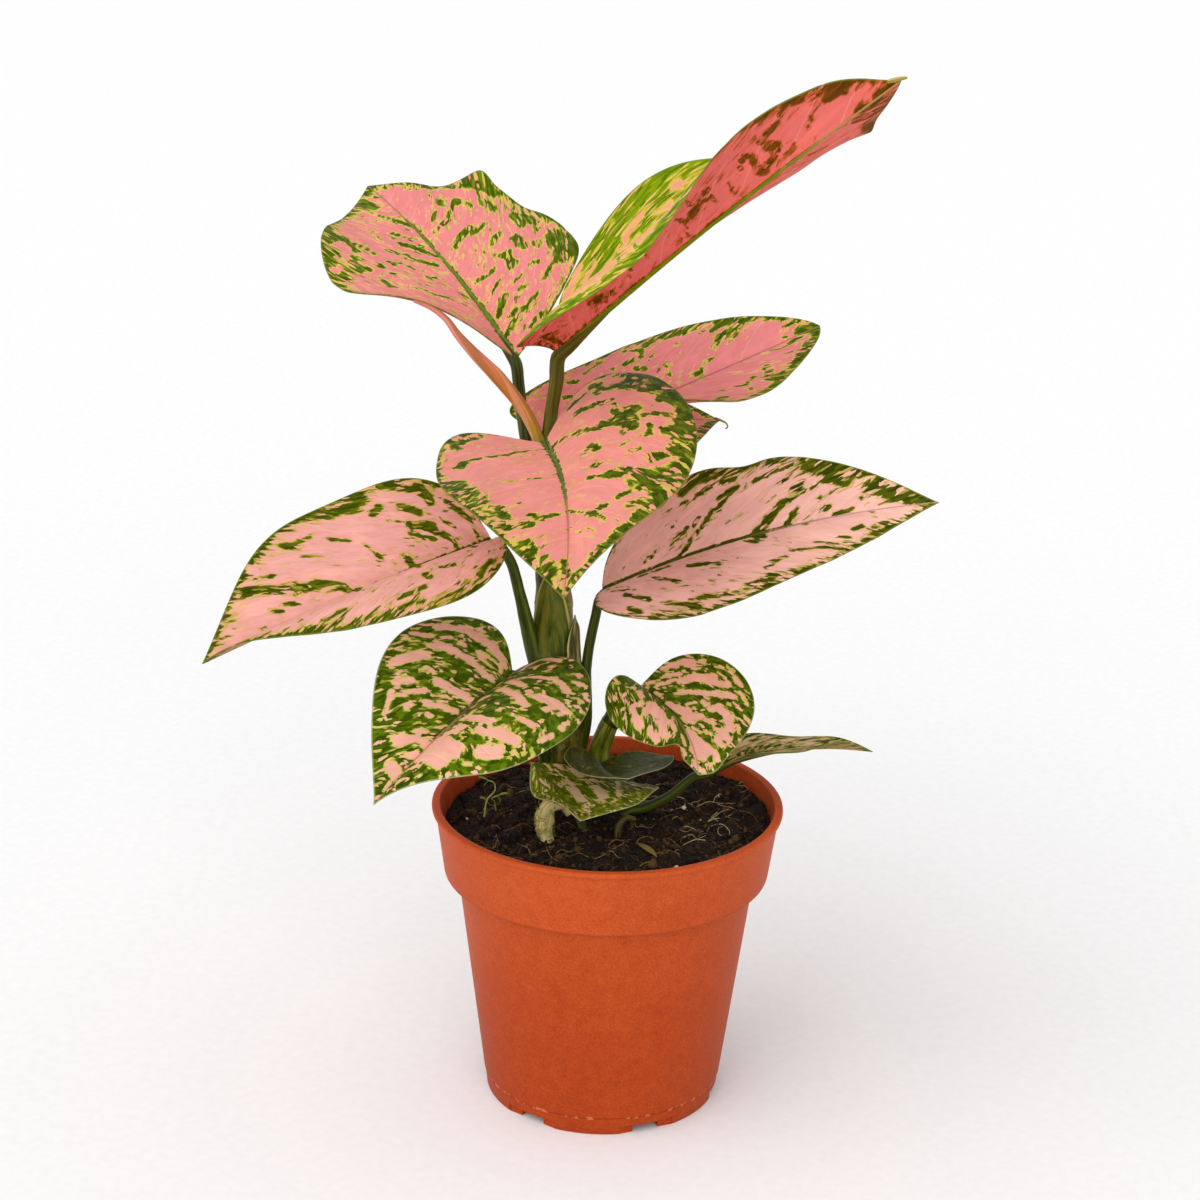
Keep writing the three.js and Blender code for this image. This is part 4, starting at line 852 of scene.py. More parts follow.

# The style of a leaf where its own entry says nothing. margin: the width of the ragged green
# rim, and the depth and strength of the soft green inside it. cell: the size of the small cells
# across and along the veins, in millimetres. lean: how the side veins of either half run forward.
# breadth: by how much the strokes are widened. upper_rim, on the upper face only: green along the
# right edge, its width, and greener tones on the left half as painted shade. stalk: radii of the stalk, if not the
# leaf's.
PLAIN_STYLE = dict(
    pinkness=0.0, streak=1.1, patch=0.6, speckle=0.4, islands=0.26, sheen=0.5, margin=(1.8, 8, 0.3), cell=(0.9, 1.8),
    rib_reach=0.7, rib_green=0.5, rib_color=None, rim_color="7d8434", under_tones=UNDERSIDE,
    lean=((0.6, 1.2), (0.6, 1.2)), breadth=0.86, upper_rim=(0, 1, 0), stalk=None, slot="leaf_pink",
)
LEAF_STYLES = {
    "leaf_top_left": dict(
        tones=ROSE, pinkness=0.2, rib_reach=0.9, rib_green=0.7, lean=((0.5, 1.6), (0.6, 1.4)), breadth=1,
        rib_color="6e7a34", stalk=(2.1, 1.8, 1.7, 1.9),
    ),
    "leaf_top_right": dict(
        tones=SUNLIT, pinkness=0.2, rib_reach=0.95, rib_green=0.6, margin=(1.2, 5, 0.2), lean=((1, 3), (1, 1)),
        upper_rim=(0.7, 4.2, 0.14), breadth=0.75, stalk=(2.2, 2.1, 2.1, 2.4),
    ),
    "leaf_upper_right": dict(tones=ROSE, pinkness=0.25, rib_reach=0.35, margin=(1.6, 4.5, 0.3), patch=0.5),
    "leaf_back_right": dict(tones=ROSE, pinkness=0.2, rib_reach=0.4, margin=(1.4, 4, 0.3)),
    "leaf_centre": dict(
        tones=CORAL, pinkness=0.27, rib_green=0.8, margin=(1.5, 6, 0.3), lean=((0.5, 0), (0.3, 0.2)), patch=0.5,
        breadth=1.05, rib_color="66703a",
    ),
    "leaf_mid_left": dict(
        tones=BLUSH, pinkness=0.22, rib_reach=0.6, margin=(1.5, 7, 0.25), under_tones=DULL_UNDERSIDE,
    ),
    "leaf_mid_right": dict(
        tones=PALE, pinkness=0.25, rib_reach=0.75, rib_green=0.8, streak=1, margin=(1.4, 6, 0.25), breadth=0.8,
    ),
    "leaf_lower_left": dict(
        tones=MIXED, pinkness=-0.25, streak=0.6, patch=0.25, margin=(2.2, 5, 0.12), cell=(1, 1.5), rib_reach=0.6,
        rib_green=0.7, speckle=0.25, lean=((0, 0), (0.7, 0.3)), breadth=0.74, rim_color="b0b484", slot="leaf_mixed",
    ),
    "leaf_lower_right": dict(
        tones=MIXED, pinkness=-0.32, streak=0.6, patch=0.25, margin=(1.4, 3, 0.1), cell=(0.9, 1.3), rib_reach=0.65,
        rib_green=0.7, speckle=0.25, lean=((0.6, 0.2), (1, 1)), breadth=0.68, stalk=(2.95, 2.6, 1.8),
        rim_color="98a060", slot="leaf_mixed",
    ),
    "leaf_low_right": dict(
        tones=GREEN, pinkness=-0.05, streak=1.6, margin=(0.8, 2, 0.2), rib_reach=0.6, cell=(0.7, 2.2),
        under_tones=DULL_UNDERSIDE, slot="leaf_mixed",
    ),
    "leaf_low_front": dict(
        tones=LIME, pinkness=-0.42, streak=0.4, patch=0.25, margin=(1.2, 3, 0.1), cell=(0.8, 1.2), rib_reach=0.8,
        speckle=0.25, breadth=0.7, rim_color="b0b484", slot="leaf_green",
    ),
    "leaf_stem_base": dict(
        tones=SHADE, pinkness=-0.5, streak=0.5, patch=0.3, margin=(1.2, 4, 0.1), rib_reach=0.8, sheen=0.45,
        islands=0, rim_color="a8ac80", slot="leaf_green",
    ),
}


def channelled(t, angle, place):
    """A stalk with a shallow channel along its top."""
    channel = 1 - 0.14 * np.clip(np.sin(angle), 0, 1) ** 4
    return channel * (1 + 0.03 * fractal(place * 0.35, 2, 7))


def build_stalk(name, blade, material, widths):
    """The stalk runs on under the blade and thins into its midrib."""
    path = blade.leaf["path"]
    places, forwards, _, tops = blade.station(np.array([0.0, 0.03, 0.08, 0.16]))
    neck = places[0] - 1.2 * forwards[0] - 1.1 * tops[0]
    under_rib = places[1:] - tops[1:] * np.array([[0.95], [0.85], [0.75]])
    whole = np.array([*path, neck, *under_rib], float)
    run = np.concatenate([[0], np.cumsum(np.linalg.norm(np.diff(whole, axis=0), axis=1))])
    main = run[len(path)]
    radii = np.interp(np.linspace(0, main, 9), np.linspace(0, main, len(widths)), widths)
    count = max(2, round((run[-1] - main) / main * 8))
    radii = [*radii, *np.linspace(radii[-1] * 0.8, 0.45, count)]
    form = tube(whole, radii, 18, 48, tops[0], channelled)
    add_piece(name + "_stalk_skin", form, material, "stalk_green", name + "_stalk")


stalk_skin = limb_paint("stalk_skin", ("1e2804", "36420a", "5e681c"), 5.0, streak=0.9)
OTHER_STALKS = {
    "leaf_top_left": limb_paint("dark_stalk_skin", ("161c08", "30380e", "56602c"), 7.0, streak=0.6),
    "leaf_top_right": limb_paint("brown_stalk_skin", ("322c06", "545012", "80762a"), 6.0, streak=0.6),
}
for number, (name, leaf) in enumerate(LEAVES.items()):
    style = SimpleNamespace(**{**PLAIN_STYLE, **LEAF_STYLES[name]})
    blade = Blade(name, leaf)
    build_blade(name, blade, leaf_paint(name + "_tissue", leaf, style, 13.0 * number + 2.0), style)
    build_stalk(name, blade, OTHER_STALKS.get(name, stalk_skin), style.stalk or leaf["radii"])

# Dried ends of two leaf tips, too fine for the blades.
tip_skin = limb_paint("tip_skin", ("6c5e1c", "a89440", "ccb86c"), 61.0, gloss=0.6)
for name, path, radii in (
    ("top_right_tip", [(69.8, -47.4, 325), (71.2, -47.5, 325.4), (73, -47.7, 325.9), (74.8, -48, 326.3)],
     (0.5, 0.65, 0.55, 0.35)),
    ("back_right_tip", [(32.4, 81.8, 195.6), (33.3, 82, 195.3), (34.7, 82, 194.7), (36.1, 82, 193.9),
                        (36.5, 82, 192.7), (35.8, 82, 192.1)], (0.45, 0.4, 0.3, 0.22)),
):
    add_piece(name, tube(path, radii, 10, 18), tip_skin, "dry_tissue")

# ---- Stems, sheaths and the rolled leaf ---------------------------------------------------


def ringed(t, angle, place):
    """Slight rings and unevenness of a stem that has shed older leaves."""
    rings = 0.035 * np.exp(-(((place[..., 2] % 13.5) - 5) / 0.9) ** 2)
    return 1 + rings + 0.035 * fractal(place * 0.22, 3, 3)


def knobbly(t, angle, place):
    """Lumps all over."""
    return 1 + 0.22 * fractal(place * 0.45, 3, 8)


def rolled(t, angle, place):
    """The rolled blade overlaps itself in one long seam."""
    around = (angle / TURN + 0.15 * t + 0.28) % 1.0
    return 0.92 + 0.16 * around + 0.02 * fractal(place * 0.3, 2, 12)


def spear_paint():
    """Rolled young leaf: tones that change along its length, wound round it."""
    paint = Paint("spear_tissue", Specular_IOR_Level=0.2, Subsurface_Weight=0.06, Subsurface_Scale=0.0015)
    t, turn, length = paint.parts(paint.attribute("limb", "Vector"))
    skin = paint.around(paint.times(t, 0.5, turn), 1.3, paint.times(length, 0.03))
    lines = paint.noise(skin, 2.0, 3.0, 0.6)
    color = paint.ramp(
        paint.centred(lines, 0.5, t), (0.0, 0.12, 0.28, 0.46, 0.6, 0.8, 1.0),
        ("8e8020", "a88028", "b26c2a", "ba6c3a", "c66a56", "ca7268", "b0644a"),
    )
    cream = paint.noise(skin, 1.1, 1.0)
    color = paint.mix(paint.remap(cream, 0.57, 0.63, 0.0, 0.45), color, "dca07c")
    color = paint.mix(paint.remap(cream, 0.44, 0.38, 0.0, 0.55), color, "8a5c20")
    return paint.finish(color, paint.times(lines, 0.2, 0.34), lines, 0.3, 0.0003)


stub_skin = limb_paint(
    "stub_skin", ("8a7a38", "d0be7c", "f0deaa"), 21.0, streak=0.9, gloss=0.7, spots=0.8, spot_color="7c8c1c"
)
for name, limb, sides, steps, uneven, slot, skin in (
    ("main_stem", MAIN_STEM, 36, 110, ringed, "stem_green",
     limb_paint("stem_skin", ("242c04", "4a500c", "7e7428"), 1.0, streak=1.4, spots=0.25)),
    ("side_shoot", SIDE_SHOOT, 28, 50, ringed, "stem_green",
     limb_paint("shoot_skin", ("3a4a08", "6e7c16", "b0aa4a"), 9.0, streak=1.5)),
    ("old_stub", OLD_STUB, 26, 60, knobbly, "dry_tissue", stub_skin),
    ("hook_shoot", HOOK_SHOOT, 16, 30, knobbly, "stalk_green",
     limb_paint("hook_skin", ("222008", "423e14", "7c6a3a"), 31.0, streak=1.2)),
    ("spear_leaf", SPEAR, 40, 90, rolled, "leaf_rolled", spear_paint()),
):
    form = tube(limb["path"], limb["radii"], sides, steps, shape=uneven)
    add_piece(name + "_skin", form, skin, slot, name)

def sheath_piece(name, foot, tip, facing, half_angle, lift, thickness, ragged, skin, slot):
    """A pointed sheath that hugs the main stem: heights of its foot and tip, the direction it
    faces, how far round it reaches, and how far it stands off the stem."""
    fine, rows, columns = 400, 56, 30
    stem, _ = smooth_path(MAIN_STEM["path"], fine)
    radii = MAIN_STEM["radii"]
    stem_radius = np.interp(np.linspace(0, 1, fine), np.linspace(0, 1, len(radii)), radii)
    share, across = np.meshgrid(np.linspace(0.002, 0.998, rows), np.linspace(-1, 1, columns), indexing="ij")
    zero = 0 * share
    z = foot + (tip - foot) * share + ragged * noise(np.stack([across * 4, zero, zero + 5], -1), 4) * share
    spread = half_angle * np.sin(math.pi * share) ** 0.6
    spread = spread * (1 + 0.075 * ragged * noise(np.stack([share * 7, zero, zero], -1), 9))
    angle = (facing + spread * across) * DEG
    centre = np.stack([np.interp(z, stem[:, 2], stem[:, 0]), np.interp(z, stem[:, 2], stem[:, 1]), z], -1)
    radius = np.interp(z, stem[:, 2], stem_radius) + lift + 0.5 * np.abs(across) ** 5 * share
    radius = radius + 0.12 * fractal(np.stack([angle * 3, z * 0.12, zero], -1), 2, 2)
    out = np.stack([np.cos(angle), np.sin(angle), zero], -1)
    inner = centre + out * radius[..., None]
    outer = centre + out * (radius + thickness * (1.02 - np.abs(across) ** 3))[..., None]
    limb = np.stack([share, (across * 0.5 + 0.5) * 0.45, z - foot], -1).reshape(-1, 3)
    rim = np.maximum(np.abs(across), share**6).ravel()
    form = *closed_sheet(inner, outer), {"limb": np.tile(limb, (2, 1)), "rim": np.tile(rim, 2)}
    add_piece(name + "_skin", form, skin, slot, name)


sheath_skin = limb_paint("sheath_skin", ("2a3604", "48560e", "706c20"), 41.0, streak=1.3, rim_color="a89c58")
dry_skin = limb_paint("dry_skin", ("3e3c14", "6e6a34", "9e9860"), 51.0, streak=1.8, gloss=0.65, rim_color="b0a874")
sheath_piece("green_sheath", 112, 165.4, -98, 66, 0.45, 0.55, 0.0, sheath_skin, "stem_green")
sheath_piece("dry_sheath", 124, 150, -30, 34, 1.6, 0.4, 1.5, dry_skin, "dry_tissue")

# ---- Pot ----------------------------------------------------------------------------------

POT_HEIGHT, LIP_RADIUS, LIP_HEIGHT = 95.7, 54, 1.7
BAND_TOP, BAND_FOOT, BAND_Z = 52.9, 50.2, 74.2
BODY_TOP, BASE, MOULD_Z = 46, 36.5, 6
WALL, FLOOR_Z, CHANNEL_Z, PAD, RING_INNER = 1.5, 3.6, 2, 15, 33.4
SOIL_LEVEL = 88.6
SLOT_COUNT, FIRST_SLOT = 6, -67 * DEG
SHARP_ANGLE = 38 * DEG
POT_SIDES = 192


def body_radius(z):
    """Outer radius of the tapered body at a height."""
    return BASE + (BODY_TOP - BASE) * z / (BAND_Z - 0.8)


def rounded(profile, corners):
    """The profile with small arcs at the numbered corners: {index: radius}."""
    out = []
    for i, (r, z) in enumerate(profile):
        if i not in corners:
            out.append((r, z))
            continue
        here = np.array([r, z])
        arms = [np.array(profile[i + step]) - here for step in (-1, 1)]
        lengths = [np.linalg.norm(arm) for arm in arms]
        reach = min(corners[i], 0.45 * lengths[0], 0.45 * lengths[1])
        a, b = (here + arm / length * reach for arm, length in zip(arms, lengths))
        out += [tuple((1 - t) ** 2 * a + 2 * t * (1 - t) * here + t**2 * b) for t in (0, 0.33, 0.67, 1)]
    return out


def pot_paint():
    """Terracotta-coloured plastic, painted lighter towards the lip and darker at the foot, with a painted shadow under
    the band and soil dust and painted shade inside the lip.
    """
    paint = Paint("pot_plastic_skin", Specular_IOR_Level=0.1)
    calc, times, remap, mix = paint.math, paint.times, paint.remap, paint.mix
    spot = paint.place()
    x, y, z = paint.parts(spot)
    grain = paint.noise(spot, 1700.0, 2.0, 0.6)
    mottle = paint.noise(spot, 260.0, 3.0, 0.55)
    slow = paint.noise(spot, 22.0)
    tone = paint.centred(grain, 1.1, paint.centred(mottle, 0.5, paint.centred(slow, 0.4, 0.5)))
    # Painted light and shade: the plastic grows lighter towards the lip and darker towards the foot.
    tone = calc("ADD", tone, remap(z, 0.01, 0.095, -0.2, 0.2))
    color = paint.ramp(tone, (0.1, 0.5, 0.9), ("983610", "b04415", "c25425"))

    # Painted shadow in the crease under the band, and the mould line near the foot with its torn flash.
    shadow_under_band, seam = (calc("ABSOLUTE", calc("SUBTRACT", z, at * MM)) for at in (BAND_Z - 0.9, MOULD_Z))
    color = mix(remap(shadow_under_band, 0.0016, 0.0002, 0.0, 0.5), color, "6e240c")
    color = mix(remap(seam, 0.0005, 0.0002, 0.0, 0.6), color, "842e10")
    torn = remap(paint.noise(spot, 480.0), 0.52, 0.6)
    color = mix(times(torn, remap(seam, 0.0007, 0.0004, 0.0, 0.8)), color, "cc7850")

    # Soil dust and painted shade inside, under the lip, darker deeper down, and a few pale scuffs.
    reach = calc("SQRT", times(x, x, times(y, y)))
    inside = times(calc("LESS_THAN", reach, times(z, 0.126, 0.0394)), calc("GREATER_THAN", z, 0.0745))
    dust = paint.noise(spot, 140.0, 3.0, 0.6)
    dust_and_shade_inside = times(times(inside, remap(z, 0.0945, 0.088)), remap(dust, 0.35, 0.65, 0.25, 0.8))
    color = mix(dust_and_shade_inside, color, "5c2716")
    scuffs = paint.noise(paint.join(times(x, 60.0), times(y, 60.0), times(z, 420.0)), 1.0, 3.0, 0.65)
    color = mix(remap(scuffs, 0.68, 0.8, 0.0, 0.15), color, "d58a64")
    return paint.finish(color, times(mottle, 0.22, 0.4), times(mottle, 0.6, grain), 0.25, 0.0002)


def slot_cutter(inner, outer, width, top):
    """Boxes round the foot of the pot, between two radii and as high above the floor as below."""
    boxes = []
    for k in range(SLOT_COUNT):
        angle = FIRST_SLOT + TURN * k / SLOT_COUNT
        along, aside = np.array([math.cos(angle), math.sin(angle)]), np.array([-math.sin(angle), math.cos(angle)])
        corners = [
            (*(along * r + aside * w), z)
            for z in (-top, top)
            for r, w in ((inner, -width / 2), (outer, -width / 2), (outer, width / 2), (inner, width / 2))
        ]
        sides = [(3, 2, 1, 0), (4, 5, 6, 7), (0, 1, 5, 4), (1, 2, 6, 5), (2, 3, 7, 6), (3, 0, 4, 7)]
        boxes.append((np.array(corners), sides, {}))
    points, faces, _ = merge(boxes)
    return new_object("slot_cutter", new_mesh("slot_cutter", points, faces))


def pot():
    """The turned shell of the pot, with the drainage slots cut out of its foot."""
    lip_foot = POT_HEIGHT - LIP_HEIGHT
    profile = [
        (0, 0), (PAD, 0), (PAD + 1, CHANNEL_Z), (RING_INNER - 0.4, CHANNEL_Z), (RING_INNER, 0), (BASE - 0.4, 0),
        (BASE - 0.1, 0.5), (body_radius(MOULD_Z) - 0.3, MOULD_Z), (body_radius(MOULD_Z), MOULD_Z + 0.2),
        (BODY_TOP, BAND_Z - 0.8), (BAND_FOOT - 0.2, BAND_Z - 0.4), (BAND_FOOT, BAND_Z + 0.4), (BAND_TOP, lip_foot),
        (LIP_RADIUS, lip_foot + 0.1), (LIP_RADIUS, POT_HEIGHT), (BAND_TOP - WALL, POT_HEIGHT),
        (BAND_FOOT - WALL, BAND_Z + 1.8), (BODY_TOP - WALL, BAND_Z + 0.6), (body_radius(FLOOR_Z) - WALL, FLOOR_Z),
        (0, FLOOR_Z),
    ]
    corners = {5: 0.4, 9: 0.5, 10: 0.7, 12: 0.35, 13: 0.6, 14: 0.7, 15: 0.5, 16: 2.0, 17: 2.0, 18: 1.0}
    rows = [level_ring(r, z, POT_SIDES) for r, z in rounded(profile, corners)[1:-1]]
    form = *closed_rings(np.array(rows), (0, 0, 0), (0, 0, FLOOR_Z)), {}
    piece = add_piece("pot_shell", form, pot_paint(), "pot_plastic", "pot")
    cutters = [slot_cutter(34.9, 38.5, 18, 2.9), slot_cutter(31.5, 35.2, 8.5, 4.6)]
    for cutter in cutters:
        cut = piece.modifiers.new("slots", "BOOLEAN")
        cut.operation, cut.solver, cut.object = "DIFFERENCE", "EXACT", cutter
    bpy.context.view_layer.update()
    done = bpy.data.meshes.new_from_object(piece.evaluated_get(bpy.context.evaluated_depsgraph_get()))
    piece.modifiers.clear()
    piece.data = done
    for cutter in cutters:
        bpy.data.objects.remove(cutter)
    done.polygons.foreach_set("use_smooth", np.ones(len(done.polygons), bool))
    work = bmesh.new()
    work.from_mesh(done)
    for edge in work.edges:
        if len(edge.link_faces) == 2 and edge.calc_face_angle(0) > SHARP_ANGLE:
            edge.smooth = False
    work.to_mesh(done)
    work.free()


pot()

# ---- Soil and what lies on it -------------------------------------------------------------

CRUMBS, FIBRES, MOSS = 2100, 560, 260
EVEN = (0.0, 0.5, 1.0)


def soil_height(x, y):
    """Height of the soil: a gentle slope and a mound round the stem, with lumps on it."""
    x, y = np.asarray(x, float), np.asarray(y, float)
    from_stem = np.hypot(x + 14.8, y - 18) / 20
    ripple = 0.5 * np.sin(0.31 * x + 1.3) * np.cos(0.27 * y - 0.4) + 0.35 * np.sin(0.62 * x - 0.51 * y + 2.1)
    plain = SOIL_LEVEL + 0.035 * y + 0.02 * x + 1.4 * np.exp(-(from_stem**2)) + ripple
    spots = np.stack([x, y, 0 * x], -1)
    lumps = 0.9 * fractal(spots * 0.16, 2, 31) + 0.55 * np.abs(fractal(spots * 0.5, 3, 41))
    return plain + lumps + 0.25 * fractal(spots * 1.6, 2, 51) - 0.5


def on_soil(x, y, lift=0.2):
    return np.array([x, y, float(soil_height(x, y)) + lift])


def soil_paint():
    """Dark peat mix with lighter threads."""
    paint = Paint("soil_mix", Specular_IOR_Level=0.25)
    spot = paint.place()
    clumps = paint.noise(spot, 330.0, 4.0, 0.7)
    crumbs = paint.cells(spot, 900.0)
    threads = paint.noise(spot, 1500.0, 3.0, 0.7)
    tone = paint.centred(threads, 0.8, clumps)
    color = paint.ramp(tone, (0.25, 0.5, 0.7, 0.85), ("0a0502", "20140a", "3a2812", "5c4220"))
    height = paint.times(clumps, 2.0, paint.math("ADD", crumbs, threads))
    return paint.finish(color, paint.times(threads, 0.25, 0.7), height, 0.8, 0.0008)


def soil():
    """The soil fills the pot from its floor to a few millimetres below the lip."""
    clearance, rim, sides, rings = 0.1, 50.4, 260, 74
    floor = FLOOR_Z + 0.2
    wall = [(body_radius(FLOOR_Z), floor), (BODY_TOP, BAND_Z + 0.9), (BAND_FOOT, BAND_Z + 2.1)]
    rows = [level_ring(r - WALL - clearance, z, sides) for r, z in wall]
    rows += [level_ring(rim * (1 - i / rings), soil_height, sides) for i in range(rings)]
    form = *closed_rings(np.array(rows), (0, 0, floor), on_soil(0, 0, 0)), {}
    add_piece("soil_bed", form, soil_paint(), "potting_soil", "soil")


soil()
ico = bmesh.new()
bmesh.ops.create_icosphere(ico, subdivisions=1, radius=1)
ICO_POINTS = np.array([v.co[:] for v in ico.verts])
ICO_FACES = [tuple(v.index for v in f.verts) for f in ico.faces]
ico.free()


def tinted(form, tint):
    """The form with one tint all over."""
    return form[0], form[1], {"tint": np.full(len(form[0]), tint)}


def chunk(centre, size, rng, tint, roughness=0.45):
    """An angular crumb or grain, turned at random."""
    p = ICO_POINTS * (1 + roughness * (rng.random((len(ICO_POINTS), 1)) - 0.5) * 1.6)
    p = p * rng.uniform(0.6, 1.25, 3)
    turn = np.array(Matrix.Rotation(rng.uniform(0, 6.28), 3, Vector(rng.normal(size=3)).normalized()))
    return tinted((p @ turn.T * size + centre, ICO_FACES), tint)


def tiny_leaf(foot, tip, width, hump=0.3):
    """A small closed leaf between two points, arched by hump and 0.2 mm thick."""
    foot, tip = np.array(foot, float), np.array(tip, float)
    u, v = np.meshgrid(np.linspace(0, 1, 11), np.linspace(-1, 1, 7), indexing="ij")
    side = np.cross(tip - foot, [0, 0, 1.0])
    side = side / np.linalg.norm(side)
    half = 0.5 * width * np.clip(np.sin(math.pi * u**0.8), 0.05, 1) ** 0.8
    rise = hump * 4 * u * (1 - u) + 0.12 * width * v * v
    middle = foot + u[..., None] * (tip - foot) + (half * v)[..., None] * side
    thick = 0.1 * (1.02 - v * v)
    shells = [middle + np.array([0, 0, 1.0]) * (rise + sign * thick)[..., None] for sign in (1, -1)]
    return *closed_sheet(*shells), {"tint": np.repeat(0.5 + 0.3 * u.ravel(), 2)}


def add_bits(name, bits, slot, skin, places, tones, rough):
    """Many tinted forms as one piece, in tones that run from dark to light with their tint."""
    paint = Paint(skin, Specular_IOR_Level=0.3)
    grain = paint.noise(paint.place(), 900.0, 3.0, 0.6)
    color = paint.ramp(paint.centred(grain, 0.5, paint.attribute("tint")), places, tones)
    material = paint.finish(color, paint.times(grain, 0.2, rough - 0.1), grain, 0.5, 0.0004)
    add_piece(name, merge(bits), material, slot)


def any_place(rng, reach):
    """A random place within reach of the pot's axis."""
    r, a = reach * math.sqrt(rng.random()), rng.uniform(0, TURN)
    return r, r * math.cos(a), r * math.sin(a)


def crumbs_and_fibres():
    """Loose matter all over the soil."""
    rng = np.random.default_rng(11)
    crumbs = []
    for _ in range(CRUMBS):
        r, x, y = any_place(rng, 50)
        size = float(np.clip(rng.lognormal(-0.6, 0.5), 0.2, 1.7))
        if r + size <= 50.2:
            crumbs.append(chunk(on_soil(x, y, size * 0.25), size, rng, rng.random()))
    tones = ("080402", "1c1208", "382610", "5c4220")
    add_bits("soil_crumbs", crumbs, "potting_soil", "crumb_mix", (0.0, 0.45, 0.75, 1.0), tones, 0.85)

    threads = []
    for _ in range(FIBRES):
        _, x, y = any_place(rng, 48)
        heading, bend = rng.uniform(0, TURN), rng.normal(0, 0.5)
        length = rng.uniform(3, 12)
        path = []
        for _ in range(5):
            if math.hypot(x, y) > 49.3:
                break
            path.append(on_soil(x, y, 0.3 + rng.uniform(-0.2, 0.9)))
            heading += bend + rng.normal(0, 0.35)
            x, y = x + length / 4 * math.cos(heading), y + length / 4 * math.sin(heading)
        if len(path) >= 3:
            radius = rng.uniform(0.05, 0.14)
            threads.append(tinted(tube(path, (radius, radius, radius * 0.5), 5, 9), rng.random()))
    tones = ("140a04", "36220d", "6a4a22", "a8844c")
    add_bits("soil_fibres", threads, "potting_soil", "fibre_mix", (0.0, 0.4, 0.8, 1.0), tones, 0.75)


def soil_details():
    """What can be told apart on the soil: perlite, pale roots, litter, bits of green leaf, two
    seedlings and moss."""
    rng = np.random.default_rng(23)
    grains = [(23.8, 10.2, 1.1), (20.9, -29.2, 0.95), (22.5, -31.2, 0.7), (-43.3, 0.9, 0.6), (-34.7, -5.1, 0.5),
              (-27.2, -26.6, 0.6), (-6.4, -34.8, 0.55), (29, 3, 0.5), (35, 18, 0.45), (-30, 8, 0.45), (8, -30, 0.4)]
    perlite = [chunk(on_soil(x, y, 0.35 * size), size, rng, rng.random(), 0.3) for x, y, size in grains]
    tones = ("b09c6c", "d8c89c", "ece2c8")
    add_bits("perlite_grains", perlite, "potting_soil", "perlite_mix", EVEN, tones, 0.7)

    paths = [
        [(28, 10.1), (31.8, 12.6), (35.3, 14.4), (40, 13.9)], [(32, -2), (35.1, -2.6), (37.4, -6.3), (37.5, -9.3)],
        [(40.4, 25), (43, 24.4), (44.1, 21.2), (42, 20)], [(-24.1, 20), (-26.5, 17.5), (-28.7, 16.6)],
    ]
    for _ in range(16):
        x, y, heading = rng.uniform(14, 44), rng.uniform(-16, 26), rng.uniform(0, TURN)
        path = [(x, y)]
        for _ in range(3):
            heading += rng.normal(0, 0.6)
            x, y = x + 2.6 * math.cos(heading), y + 2.6 * math.sin(heading)
            path.append((x, y))
        if max(math.hypot(*spot) for spot in path) < 48.5:
            paths.append(path)
    roots = []
    for path in paths:
        lifted = [on_soil(x, y, rng.uniform(0.35, 1.1)) for x, y in path]
        lifted[0][2] -= 0.6
        roots.append(tinted(tube(lifted, (0.13, 0.12, 0.07), 6, 14), rng.uniform(0.3, 1)))
    add_bits("pale_roots", roots, "potting_soil", "root_mix", EVEN, ("7c6238", "b09a64", "dccfa0"), 0.6)

    litter = [tiny_leaf(on_soil(9.5, -15.9, 0.5), on_soil(15.1, -25.2, 0.3), 2.6, 0.5)]
    add_bits("leaf_litter", litter, "potting_soil", "straw_mix", EVEN, ("4c3a10", "7c6420", "a08838"), 0.6)

    greens = []
    for x, y, size in ((15.1, 2.4, 2.4), (18.9, 7.3, 2), (20, -0.4, 1.8), (43.2, 30, 2.6), (41.5, 26, 1.6)):
        turn = rng.uniform(0, TURN)
        step = size * np.array([math.cos(turn), math.sin(turn), 0.35])
        greens.append(tiny_leaf(on_soil(x, y, 0.1), on_soil(x, y, 0.3) + step, 0.55 * size))
    stem = [on_soil(-38.1, 3.5, -0.5), (-37.2, 3.5, 93.6), (-34.8, 3.5, 97), (-35.2, 3.4, 99.6), (-37, 3.5, 100.2)]
    twin = [on_soil(-34.6, 8.4, -0.5), (-35.0, 6, 92), (-35.7, 3.5, 94.3), (-33.6, 3.5, 95.4)]
    for path, radius in ((stem, 0.3), (twin, 0.26)):
        greens.append(tinted(tube(path, (radius, radius * 0.8, radius * 0.6), 8, 26), 0.9))
    for foot, tip, width in (
        ((-36.9, 3.5, 100.2), (-39.8, 3.2, 101.3), 1.7), ((-36.6, 3.4, 100.1), (-38.2, 4.2, 98.2), 1.5),
        ((-33.7, 3.5, 95.3), (-30.6, 3.3, 95.9), 1.8), ((-33.9, 3.5, 95.2), (-33, 3.2, 92.9), 1.6),
        ((-37.2, 3.5, 93.6), (-39.4, 2.8, 94.6), 1.3),
    ):
        greens.append(tiny_leaf(foot, tip, width, 0.2))
    # Moss on the foot of the old stub.
    stub, _ = smooth_path(OLD_STUB["path"], 60)
    for _ in range(MOSS):
        centre = stub[int(rng.integers(12, 40))]
        turn = rng.uniform(0, TURN)
        out = np.array([math.cos(turn), math.sin(turn), rng.uniform(-0.3, 0.5)])
        foot = centre + out * 2.45
        path = [foot, foot + 0.5 * out + (0, 0, 0.15), foot + 0.8 * out + (0, 0, 0.5)]
        greens.append(tinted(tube(path, (0.13, 0.1, 0.05), 4, 3), rng.uniform(0.1, 0.8)))
    add_bits("sprouts_and_moss", greens, "leaf_green", "sprout_mix", EVEN, ("4a5808", "72861c", "a8b454"), 0.5)


crumbs_and_fibres()
soil_details()

# ---- Camera, light and floor --------------------------------------------------------------

